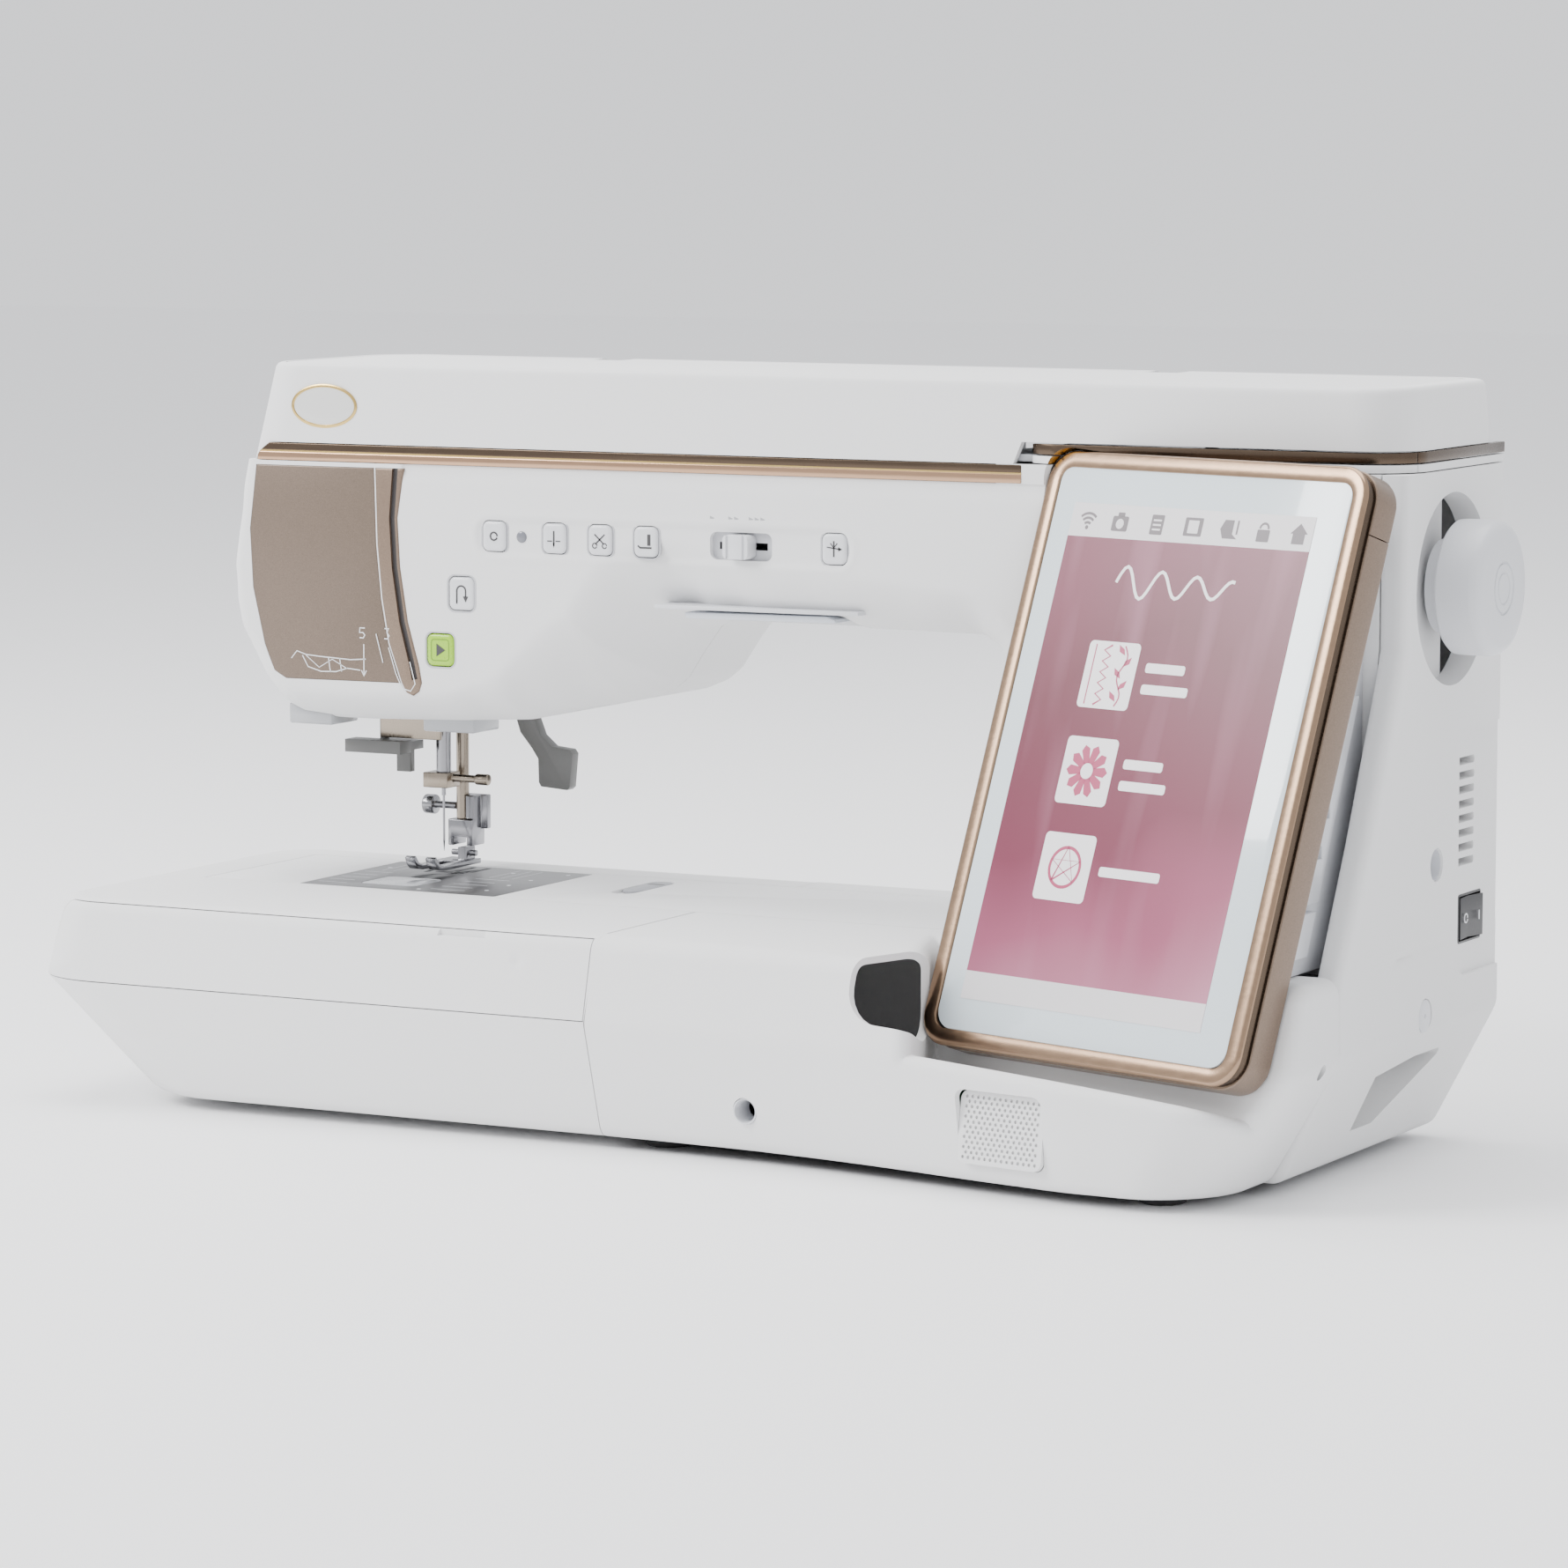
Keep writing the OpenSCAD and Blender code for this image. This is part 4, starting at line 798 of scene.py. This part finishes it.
def ui_material():
    """Lit panel picture: deep rose at the top fading to pale pink, with soft streaks of light."""
    m, b, add, wire = new_mat("display")
    uv = add("UVMap")
    uv.uv_map = "panel"
    uv = uv.outputs["UV"]
    sep = add("SeparateXYZ")
    bend = add("TexNoise", Scale=2.2, Detail=1.0)
    amount, slant = add("Math"), add("Math")
    for node, factor in ((amount, 0.34), (slant, -0.16)):
        node.operation = "MULTIPLY_ADD"
        node.inputs[1].default_value = factor
    ramp = add("ValToRGB")
    stops = [(0.04, (0.44, 0.17, 0.25)), (0.24, (0.29, 0.06, 0.12)), (0.44, (0.16, 0.015, 0.045)),
             (0.80, (0.12, 0.006, 0.025)), (1.0, (0.16, 0.015, 0.045))]
    while len(ramp.color_ramp.elements) < len(stops):
        ramp.color_ramp.elements.new(0.5)
    for e, (pos, col) in zip(ramp.color_ramp.elements, stops):
        e.position = pos
        e.color = (*col, 1)
    mp = add("Mapping", Scale=(5.0, 1.1, 1), Rotation=(0, 0, 0.14))
    streak = add("TexNoise", Scale=1.3, Detail=1.5)
    mr = add("MapRange", From_Min=0.52, From_Max=0.8, To_Max=0.42)
    mix = add("Mix")
    mix.data_type = "RGBA"
    mix.inputs[7].default_value = (0.42, 0.17, 0.25, 1)
    wire((uv, sep.inputs["Vector"]), (uv, bend.inputs["Vector"]), (uv, mp.inputs["Vector"]),
         (bend.outputs["Fac"], amount.inputs[0]), (sep.outputs["Y"], amount.inputs[2]),
         (sep.outputs["X"], slant.inputs[0]), (amount.outputs[0], slant.inputs[2]),
         (slant.outputs[0], ramp.inputs["Fac"]), (mp.outputs["Vector"], streak.inputs["Vector"]),
         (streak.outputs["Fac"], mr.inputs["Value"]), (mr.outputs["Result"], mix.inputs["Factor"]),
         (ramp.outputs["Color"], mix.inputs[6]), (mix.outputs[2], b.inputs["Base Color"]),
         (mix.outputs[2], b.inputs["Emission Color"]))
    set_all(b, Roughness=0.22, Emission_Strength=0.02)


ui_material()
GLASS_Z = 0.9
face = prism("lcd_picture", [(-UI_W, -UI_H), (UI_W, -UI_H), (UI_W, UI_H), (-UI_W, UI_H)], "z", GLASS_Z + 0.02,
             GLASS_Z + 0.12)
layer = face.data.uv_layers.new(name="panel")
for lp in face.data.loops:
    p = face.data.vertices[lp.vertex_index].co
    layer.data[lp.index].uv = ((p.x + UI_W) / (2 * UI_W), (p.y + UI_H) / (2 * UI_H))
done(to_screen(face), "machine", "display")


def plate(pts, z0, z1, mat):
    return paint(prism("t", pts, "z", z0, z1), mat)


def stroke(pts, w):
    """Outline of a line of width w through the points."""
    P = [np.array(p, float) for p in pts]
    left, right = [], []
    for i, p in enumerate(P):
        d = (P[min(i + 1, len(P) - 1)] - P[max(i - 1, 0)])
        d = d / max(np.linalg.norm(d), 1e-9)
        nrm = np.array([-d[1], d[0]]) * w / 2
        left.append(tuple(p + nrm))
        right.append(tuple(p - nrm))
    return right + left[::-1]


def arc_pts(cx, cy, r, a0, a1, n=14):
    return [(cx + r * math.cos(math.radians(a0 + (a1 - a0) * i / n)),
             cy + r * math.sin(math.radians(a0 + (a1 - a0) * i / n))) for i in range(n + 1)]


z0, z1, z2 = GLASS_Z + 0.14, GLASS_Z + 0.2, GLASS_Z + 0.26
UI = [plate([(-UI_W, 93.8), (UI_W, 93.8), (UI_W, UI_H), (-UI_W, UI_H)], z0 - 0.04, z0, "ui_bar"),
      plate([(-UI_W, -UI_H), (UI_W, -UI_H), (UI_W, -UI_H + 12), (-UI_W, -UI_H + 12)], z0 - 0.04, z0, "ui_bar")]
iy = 101.0
icon = lambda pts: plate(pts, z0 + 0.01, z1, "ui_icon")
for r in (2.4, 4.4, 6.4):
    UI.append(icon(stroke(arc_pts(-58, iy - 3.4, r, 48, 132), 1.1)))
UI.append(icon(circ(-58, iy - 3.2, 0.9, 16)))
UI += [icon(rr(-44, iy - 4, -35, iy + 2.6, 0.8)), icon(rr(-41.4, iy + 2.4, -37.6, iy + 4.2, 0.4)),
       plate(circ(-39.5, iy - 0.8, 2.2, 20), z1, z2, "ui_bar"), icon(rr(-22, iy - 4.4, -15, iy + 4.2, 0.5))]
UI += [plate(rr(-20.8, iy + k, -16.2, iy + k + 0.8, 0.2), z1, z2, "ui_bar") for k in (-2.6, -0.6, 1.4)]
UI += [icon(rr(-3, iy - 4, 7, iy + 4, 0.5)), plate(rr(-0.9, iy - 2.8, 4.9, iy + 2.8, 0.3), z1, z2, "ui_bar")]
UI += [icon([(19, iy + 4), (24, iy + 4), (24, iy - 2), (27, iy - 4), (19, iy - 4), (17, iy)]),
       icon(stroke([(26.4, iy + 4), (26.4, iy - 2)], 0.9)), icon(rr(37.6, iy - 4.4, 44.4, iy + 0.8, 0.5)),
       icon(stroke(arc_pts(41, iy + 1.2, 2.3, 0, 180), 1.0)),
       icon([(57, iy - 4.4), (63.6, iy - 4.4), (63.6, iy), (65, iy), (60.3, iy + 4.4), (55.6, iy), (57, iy)])]
TILE_X, TILE = -40.5, 29.0
for k, cy in enumerate((35.0, -6.5, -48.0)):
    UI.append(plate(rr(TILE_X, cy - TILE / 2, TILE_X + TILE, cy + TILE / 2, 2.2), z0, z1, "tile_white"))
    rose = lambda pts: plate(pts, z1 + 0.01, z2, "ui_rose")
    if k == 0:
        zig = [(TILE_X + 9 + 4 * (i % 2), cy - 13 + 26 * i / 11) for i in range(12)]
        UI += [rose(stroke(zig, 0.9)), rose(stroke([(TILE_X + 4, cy - 13), (TILE_X + 4, cy + 13)], 0.6))]
        vine = [(TILE_X + 21 + 1.8 * math.sin(i * 0.7), cy - 13 + 26 * i / 14) for i in range(15)]
        UI.append(rose(stroke(vine, 0.7)))
        for i in range(5):
            sx = 1 if i % 2 else -1
            UI.append(rose([(TILE_X + 21, cy - 11 + 5 * i), (TILE_X + 21 + 3.4 * sx, cy - 9.6 + 5 * i),
                            (TILE_X + 21 + 4.2 * sx, cy - 6.6 + 5 * i), (TILE_X + 21 + 0.9 * sx, cy - 8.4 + 5 * i)]))
    elif k == 1:
        cx = TILE_X + TILE / 2
        for q in range(10):
            a = math.radians(36 * q)
            petal = [(0, 1.0), (9.6, 2.2), (11.6, 0), (9.6, -2.2), (0, -1.0)]
            UI.append(rose([(cx + u * math.cos(a) - w * math.sin(a), cy + u * math.sin(a) + w * math.cos(a))
                            for u, w in petal]))
        UI.append(plate(circ(cx, cy, 3.4, 24), z2, z2 + 0.05, "tile_white"))
    else:
        cx = TILE_X + TILE / 2
        UI += [rose(stroke(arc_pts(cx, cy, 8.5, -60, 300, 40), 1.4)),
               rose(stroke([(cx - 6, cy - 6), (cx, cy + 9), (cx + 6, cy - 6), (cx - 8, cy + 3), (cx + 8, cy + 3),
                            (cx - 6, cy - 6)], 0.8))]
    # plain bars stand for the captions
    for row, wide in ((4.6, 22), (-4.6, 26)) if k < 2 else ((0, 34),):
        UI.append(plate(rr(TILE_X + TILE + 5, cy + row - 2.1, TILE_X + TILE + 5 + wide, cy + row + 2.1, 1.2),
                        z0, z1, "tile_white"))
ribbon = [(-34 + 66 * t / 40, 75 + 7.5 * math.sin(t * 0.52) * math.exp(-t / 60)) for t in range(41)]
UI.append(plate(stroke(ribbon, 1.5), z0, z1, "tile_white"))
ui = join("lcd_symbols", UI)
done(to_screen(ui), "machine", "display")
soften("lcd_panel", 0.4, 2, "black_plastic")

# ---------------------------------------------------------------- face plate, thread channel and prints
def on_face(pts, y0, y1, mat):
    return paint(prism("t", pts, "y", y0, y1), mat)


fp = prism("face_plate_form", FACE_OUT, "y", ARM_FRONT - 0.15, ARM_FRONT + 1.8)
done(bevel(fp, 0.7, 3, 30), "machine", "bronze_paint", ["face_plate"])
ch = prism("thread_channel_form", CHANNEL_OUT, "y", ARM_FRONT - 0.5, ARM_FRONT + 1.8)
slot_line = [(-189.5, 284.6), (-191.4, 262), (-190.2, 240), (-186.4, 215), (-181.6, 197), (-179.8, 189)]
bevel(ch, 0.8, 3, 30)
bool_op(ch, [prism("t", stroke(slot_line, 3.0), "y", 0, ARM_FRONT + 1.2)])
done(ch, "machine", "bronze_paint", ["thread_channel_cover"], "bronze_side")
# a near-black sheet on the floor of the thread slot: painted shade inside the slot
slot_floor = paint(prism("thread_slot_floor", stroke(slot_line, 3.0), "y", ARM_FRONT + 1.0, ARM_FRONT + 1.25),
                   "slot_dark")
done(slot_floor, "machine", "bronze_paint")
yp = ARM_FRONT - 0.15
marks = []
line = lambda pts, w=0.45, y=yp: marks.append(on_face(stroke(pts, w), y - 0.07, y + 0.01, "print_white"))
line([(-246, 196), (-243, 199.5), (-238, 198), (-230, 197.4), (-222, 197), (-214, 196.6), (-206, 197.2)])
line([(-240, 197.6), (-237, 192.5), (-230, 190.6), (-222, 190.8), (-216, 192.6), (-209, 192)])
line([(-226, 197), (-225, 190.6)])
line([(-220, 197), (-219, 191)])
line([(-238, 197.6), (-231, 192.4), (-224, 196.4), (-216, 192.4)], 0.35)
line([(-207, 204), (-207, 190)], 0.5)
line([(-208.3, 192), (-207, 189.4), (-205.7, 192)], 0.5)
line([(-206.4, 211.4), (-209, 211.4), (-209.2, 209.2), (-207.4, 209.3), (-206.4, 208.2), (-207.2, 206.8),
      (-209.2, 206.9)], 0.55)
yc = ARM_FRONT - 0.5
line([(-195.6, 211.6), (-193.4, 211.6), (-194.4, 209.8), (-193.2, 208.4), (-194.2, 206.9), (-195.8, 207)], 0.55, yc)
line([(-193.6, 203), (-189.8, 191.4), (-186.6, 184.8), (-182, 183.6), (-179.6, 187), (-182.4, 197)], 0.45, yc)
line([(-200.2, 209), (-196.6, 196)], 0.45, yc)
done(join("thread_guide_prints", marks), "machine", "bronze_paint")

# ---------------------------------------------------------------- keys
def key_form(node, x, z, w, h, mat):
    rings_k = []
    for inset, y in ((0, ARM_FRONT + 5), (0, ARM_FRONT + 0.6), (0.25, ARM_FRONT + 0.1), (0.8, ARM_FRONT - 0.25),
                     (2.2, ARM_FRONT - 0.38), (4.2, ARM_FRONT - 0.3)):
        rings_k.append([(p[0], y, p[1]) for p in rr(x - w / 2 + inset, z - h / 2 + inset, x + w / 2 - inset,
                                                    z + h / 2 - inset, max(3 - inset, 0.6), 6)][::-1])
    o = rings(node + "_cap", rings_k, sharp=50)
    return done(o, BODY_OF[node], SLOT_OF[node], [node], mat)


KEY_NODES = ["stitch_lock_button", "needle_position_button", "thread_cutter_button", "presser_foot_button",
             "threader_button", "reverse_button", "start_stop_button"]
for node, (x, z, w, k) in zip(KEY_NODES, KEYS):
    key_form(node, x, z, w, k, "green_key" if node == "start_stop_button" else "white_gloss")


def key_print(node, shapes, mat="print_dark"):
    parts = [on_face(s, ARM_FRONT - 0.46, ARM_FRONT - 0.2, mat) for s in shapes]
    done(join(node + "_symbol", parts), BODY_OF[node], SLOT_OF[node])


cx, cz = BUTTON_X[0], 255.5
key_print("stitch_lock_button", [stroke(arc_pts(cx, cz, 1.75, 0, 340, 26), 0.75)])
cx = BUTTON_X[1]
key_print("needle_position_button", [stroke([(cx, cz + 3.4), (cx, cz - 3.4)], 0.75), [(cx - 0.5, cz - 2), (cx,
                                                                                                           cz - 4.2),
                                                                                                           (cx + 0.5,
                                                                                                            cz - 2)],
                                     stroke([(cx - 3.4, cz - 1.2), (cx - 0.9, cz - 1.2)], 0.5),
                                     stroke([(cx + 0.9, cz - 1.2), (cx + 3.4, cz - 1.2)], 0.5)])
cx = BUTTON_X[2]
key_print("thread_cutter_button", [stroke([(cx - 2.6, cz + 2.6), (cx + 2.0, cz - 1.6)], 0.6),
                                   stroke([(cx + 2.6, cz + 2.6), (cx - 2.0, cz - 1.6)], 0.6),
                                   stroke(arc_pts(cx - 2.5, cz - 2.5, 1.1, 0, 340, 16), 0.5),
                                   stroke(arc_pts(cx + 2.5, cz - 2.5, 1.1, 0, 340, 16), 0.5)])
cx = BUTTON_X[3]
key_print("presser_foot_button", [[(cx + 1.0, cz + 3.4), (cx + 2.6, cz + 3.4), (cx + 2.6, cz - 1.6), (cx + 1.0,
                                                                                                      cz - 1.6)],
                                  [(cx - 3.6, cz - 1.4), (cx - 2.6, cz - 2.2), (cx + 3.2, cz - 2.2), (cx + 3.2,
                                                                                                      cz - 3.0),
                                   (cx - 2.8, cz - 3.0), (cx - 4.0, cz - 1.9)]])
cx = BUTTON_X[4]
key_print("threader_button", [stroke([(cx, cz + 3.6), (cx, cz - 3.4)], 0.7), stroke([(cx - 3.4, cz + 0.8), (cx + 3.4,
                                                                                                            cz)],
                                                                                                            0.5),
                              [(cx + 2.2, cz + 1.0), (cx + 4.2, cz), (cx + 2.2, cz - 0.9)],
                              stroke([(cx - 1.7, cz + 2.6), (cx, cz + 0.6), (cx + 1.7, cz + 2.6)], 0.5)])
cx, cz = -155.1, 229
key_print("reverse_button", [stroke([(cx - 2.3, cz - 3.6), (cx - 2.3, cz + 1.2)] + arc_pts(cx, cz + 1.2, 2.3, 180, 0,
                                                                                           10)
                                    + [(cx + 2.3, cz - 1.4)], 0.75),
                             [(cx + 0.9, cz - 1.2), (cx + 3.7, cz - 1.2), (cx + 2.3, cz - 3.9)],
                             stroke([(cx - 2.3, cz - 3.2), (cx - 2.3, cz - 4.6)], 0.75)])
cx, cz = -166.4, 203
key_print("start_stop_button", [[(cx - 1.9, cz + 2.9), (cx - 1.9, cz - 2.9), (cx + 2.7, cz)]])
edge = stroke([*rr(cx - 4.6, cz - 4.8, cx + 4.6, cz + 4.8, 1.4, 4), (cx + 3.2, cz - 4.8)], 0.5)
done(on_face(edge, ARM_FRONT - 0.42, ARM_FRONT - 0.2, "green_dark"), BODY_OF["start_stop_button"],
     "green_key").name = "start_stop_outline"
# soft frames around the keys
frames = []
for x, z, w, k in KEYS:
    ring_o = rr(x - w / 2 - 1.1, z - k / 2 - 1.1, x + w / 2 + 1.1, z + k / 2 + 1.1, 3.9)
    ring_i = rr(x - w / 2 - 0.5, z - k / 2 - 0.5, x + w / 2 + 0.5, z + k / 2 + 0.5, 3.4)
    face_y = ARM_FRONT + (0.85 if z > 240 else 0.0)
    lp = [[(p[0], y, p[1]) for p in o] for o, y in ((ring_o, face_y + 0.5), (ring_o, face_y - 0.16),
                                                    (ring_i, face_y - 0.16), (ring_i, face_y + 2.6))]
    frames.append(paint(rings("t", [q[::-1] for q in lp], close=(False, False)), "ring_grey"))
done(join("key_frames", frames), "machine", "light_grey")

# ---------------------------------------------------------------- speed slider, arrows, status lamp
pocket_floor = on_face(rr(SLIDER[0] - 16.5, SLIDER[1] - 7.2, SLIDER[0] + 16.5, SLIDER[1] + 7.2, 3.6), ARM_FRONT + 3.6,
                       ARM_FRONT + 4.2, "ring_grey")
bool_op(pocket_floor, [block(SLIDER[0] - 12, SLIDER[0] + 12, 0, 30, SLIDER[1] - 1.6, SLIDER[1] + 1.6)])
done(pocket_floor, "machine", "light_grey").name = "slider_pocket_floor"
knob = on_face(rr(SLIDER[0] - 6.3, SLIDER[1] - 5.4, SLIDER[0] + 6.3, SLIDER[1] + 5.4, 2.4, 8), 3.2, 11.4, "white_gloss")
bool_op(knob, [block(SLIDER[0] - 4.6, SLIDER[0] - 3.4, 0, 4.2, SLIDER[1] - 7, SLIDER[1] + 7),
               block(SLIDER[0] + 3.4, SLIDER[0] + 4.6, 0, 4.2, SLIDER[1] - 7, SLIDER[1] + 7)])
bevel(knob, 0.7, 3)
stem = paint(block(SLIDER[0] - 2, SLIDER[0] + 2, 11.3, 20, SLIDER[1] - 1.2, SLIDER[1] + 1.2), "white_gloss")
done(join("speed_slider_knob", [knob, stem]), "speed_slider", "white_gloss", ["speed_slider"])
arrows = []
for start, count in ((-27.6, 1), (-18.4, 2), (-8.2, 3)):
    for i in range(count):
        ax = start + 2.9 * i
        arrows.append(on_face([(ax, 268.2), (ax, 266.2), (ax + 2.5, 267.2)], ARM_FRONT - 0.06, ARM_FRONT + 0.02,
                              "print_grey"))
done(join("speed_marks", arrows), "machine", "light_grey")
led = lathe("status_lamp", [(ARM_FRONT + 2, 2.6), (ARM_FRONT + 0.7, 2.6), (ARM_FRONT + 0.45, 2.3), (ARM_FRONT + 0.3,
                                                                                                    1.4),
                            (ARM_FRONT + 0.26, 0.4)], (-124.1, 255.5), "y", 32, 60)
done(paint(led, "led_grey"), "machine", "light_grey")

# ---------------------------------------------------------------- badge on the lid, lamp slot
by = ARM_FRONT + 0.035 * (311.8 - 287)
badge_rim = [[(-227.7 + sx * math.cos(a), y, 311.8 + sz * math.sin(a)) for a in np.linspace(2 * math.pi, 0, 64,
                                                                                            endpoint=False)]
             for sx, sz, y in ((17.5, 10, by + 0.4), (17.5, 10, by - 0.35), (17.1, 9.6, by - 0.6), (16.4, 8.9,
                                                                                                    by - 0.6),
                               (16.0, 8.5, by - 0.3))]
rim = paint(rings("t", badge_rim, close=(True, False)), "gold")
fill = paint(rings("t", [[(-227.7 + 16.1 * s * math.cos(a), y, 311.8 + 8.6 * s * math.sin(a))
                          for a in np.linspace(2 * math.pi, 0, 64, endpoint=False)]
                         for s, y in ((1, by - 0.25), (0.9, by - 0.42), (0.5, by - 0.5), (0.1, by - 0.52))]),
                         "badge_fill")
done(join("lid_badge", [rim, fill]), "lid", "bronze_chrome")
lamp = prism("arm_lamp_strip", [(-44, 224.6), (27, 225.2), (31, 223.9), (32, 222.4), (-43, 221.8)], "y", 14, 43)
done(bevel(lamp, 0.6, 2), "machine", "clear_lens", mat="lamp_bar")

slot_roof = prism("arm_lamp_roof", [(-58, 225.8), (44, 226.2), (44, 228), (-58, 227.6)], "y", 11.5, 46)
done(bevel(slot_roof, 0.4, 2), "machine", "white_satin")

# ---------------------------------------------------------------- small parts with softened edges
SOFT = [("needle_clamp", 0.5), ("presser_ankle", 0.6), ("presser_foot", 0.3), ("presser_lever", 1.3),
        ("needle_threader", 0.7), ("thread_guide_bracket", 0.5), ("needle_plate", 0.2), ("bobbin_cover", 0.35),
        ("plate_release_slider", 0.3), ("work_lamps", 1.0), ("carry_handle", 2.2), ("power_rocker", 0.4),
        ("port_panel", 0.5), ("power_inlet", 0.5), ("base_feet", 1.0), ("feed_dogs", 0.15),
        ("upper_deck", 0.4), ("screen_mount", 1.0), ("base_pan", 0.5), ("bobbin_winder", 0.5)]
for node, width in SOFT:
    soften(node, width)

# ---------------------------------------------------------------- handwheel, side details
wheel_prof = [(SIDE_X - 5, 12), (SIDE_X - 5, 20), (SIDE_X + 1.6, 20), (SIDE_X + 2.2, 27.4), (SIDE_X + 3.4, 28.6),
              (SIDE_X + 6, 28.8), (SIDE_X + 17.5, 28.8),
              (SIDE_X + 20.4, 28.2), (SIDE_X + 22.2, 26.6), (SIDE_X + 23, 24.2), (SIDE_X + 23, 11.6), (SIDE_X + 22.3,
                                                                                                       11.3),
                                                                                                       (SIDE_X + 22.3,
                                                                                                        10.5),
              (SIDE_X + 23, 10.2), (SIDE_X + 23, 7.2), (SIDE_X + 22.5, 6.9), (SIDE_X + 22.5, 6.2), (SIDE_X + 23, 5.9),
              (SIDE_X + 23, 0.3)]
wheel = lathe("handwheel_form", wheel_prof, (WHEEL[1], WHEEL[2]), "x", 96, 40)
done(wheel, "wheel_and_shaft", "white_satin", ["handwheel"])
cap = lathe("side_cap", [(SIDE_X - 1.0, 7.1), (SIDE_X - 0.3, 7.0), (SIDE_X - 0.1, 6.5), (SIDE_X - 0.1, 1.1),
                         (SIDE_X - 0.6, 0.9),
                         (SIDE_X - 0.7, 0.2)], (36.3, 65), "x", 48)
done(cap, "machine", "white_satin")
hole_cup = lathe("side_hole_cup", [(SIDE_X - 8, 0.2), (SIDE_X - 8, 7.1), (SIDE_X - 1.2, 7.15), (SIDE_X - 1.0, 6.4),
                                   (SIDE_X - 7.2, 6.2),
                                   (SIDE_X - 7.3, 0.1)], (47.2, 128.2), "x", 48)
done(hole_cup, "machine", "white_satin")
jack = lathe("side_jack", [(282, 0.1), (282, 3.2), (293.2, 3.2), (293.4, 2.9), (293.2, 2.1), (284, 1.9), (284, 0.05)],
             (-73, 56.2),
             "x", 32)
done(paint(jack, "black_plastic"), "machine", "black_plastic")
rx = cad("power_rocker")[1][0]
marks = [paint(prism("t", stroke(arc_pts(84.5, 101, 1.9, 0, 345, 24), 0.5), "x", rx - 0.72, rx - 0.5), "print_white"),
         paint(prism("t", stroke([(98.6, 103), (98.6, 99)], 0.6), "x", rx - 0.35, rx + 0.02), "print_white")]
done(join("rocker_marks", marks), "power_rocker", "black_plastic")
frame_r = [[(SIDE_X - dx, p[0], p[1]) for p in rr(77.7 + k, 90.4 + k, 104.3 - k, 111.6 - k, max(1.5 - k, 0.4))]
           for k, dx in ((0, 9), (0, 2.1), (0.9, 2.0), (1.0, 4.2), (1.0, 9))]
done(paint(rings("rocker_frame", frame_r, close=(False, False)), "black_plastic"), "machine", "black_plastic")

# knee-lift sleeve and the speaker grille's rounded frame
kx, kz = 44.2, 23.4
ky = -93.4
sleeve = lathe("knee_sleeve", [(ky + 12, 5.85), (ky + 0.6, 5.85), (ky - 0.4, 5.6), (ky - 0.5, 5.0), (ky + 0.8, 4.6),
                               (ky + 12, 4.5)], (kx, kz), "y", 48)
done(sleeve, "machine", "white_satin")
soften("knee_lift_socket", 0.3, 2, "black_plastic")

grille = prism("speaker_grille_form", rr(-21.2, -15.2, 21.2, 15.2, 4, 8), "z", -3.2, -1.0)
dots = [prism("t", circ(-18.2 + 2.8 * i + 1.4 * (j % 2), -12.6 + 2.1 * j, 0.78, 10), "z", -2.2, 1)
        for j in range(13) for i in range(13 + (j + 1) % 2)]
bool_op(grille, [join("t", dots)])
grille.data.transform(grille_at)
done(grille, "machine", "white_speaker", ["speaker_grille"])

# needle plate marks: short guide lines and dots
pm = []
top = BED_TOP
for i, y in enumerate((14, 24, 34, 44, 54)):
    for x0, x1 in ((-236, -221), (-176, -158)):
        pm.append(plate(stroke([(x0, y), (x1 - 2 * (i % 2), y)], 0.4), top - 0.01, top + 0.03, "print_white"))
for x, y in ((-150, 20), (-150, 40), (-150, 60), (-232, 70), (-170, 78), (-144, 84), (-180, 10)):
    pm.append(plate(circ(x, y, 1.1, 16), top - 0.01, top + 0.04, "print_white"))
for x in (-224, -230, -172, -166, -160):
    pm.append(plate(stroke([(x, 60), (x, 88)], 0.35), top - 0.01, top + 0.03, "print_white"))
done(join("needle_plate_marks", pm), "machine", "steel")
# a flat dark plate flush with the slider's top: painted shade standing for the finger notch
notch = paint(prism("slider_notch", rr(-96.2, 73, -87.8, 76, 1.2), "z", top - 0.02, top + 0.05), "grey_plastic")
done(notch, "release_slider", "light_grey")
bpy.data.objects.remove(SCREEN_ROOM)

# ---------------------------------------------------------------- light, floor
def area(name, loc, target, size, power):
    d = bpy.data.lights.new(name, "AREA")
    d.energy = power
    d.shape = "RECTANGLE"
    d.size = d.size_y = size
    o = bpy.data.objects.new(name, d)
    COLL.objects.link(o)
    o.location = loc
    o.rotation_euler = (Vector(target) - Vector(loc)).to_track_quat("-Z", "Y").to_euler()


world = bpy.data.worlds.new("studio")
bpy.context.scene.world = world
world.use_nodes = True
set_all(world.node_tree.nodes["Background"], Color=(0.96, 0.97, 1.0, 1), Strength=1.25)
area("key", (-1.8, -1.5, 1.9), (0, 0, 0.15), 1.3, 84)
area("top", (-0.1, 0.3, 2.4), (0, 0, 0.1), 2.2, 66)
floor = prism("floor_plane", [(-9000, -9000), (9000, -9000), (9000, 9000), (-9000, 9000)], "z", -20, 0)
to_m(floor)
fm = plastic("floor_pale", (0.97, 0.97, 0.975), 0.6, bump=0.0, vary=0.002)
floor.data.materials.append(fm)

# ---------------------------------------------------------------- remaining CAD nodes take their slot's finish
for node, o in frame["nodes"].items():
    mat = M.get(SLOT_OF[node], M["white_satin"])
    for i in range(len(o.data.materials)):
        o.data.materials[i] = mat
    if not len(o.data.materials):
        o.data.materials.append(mat)
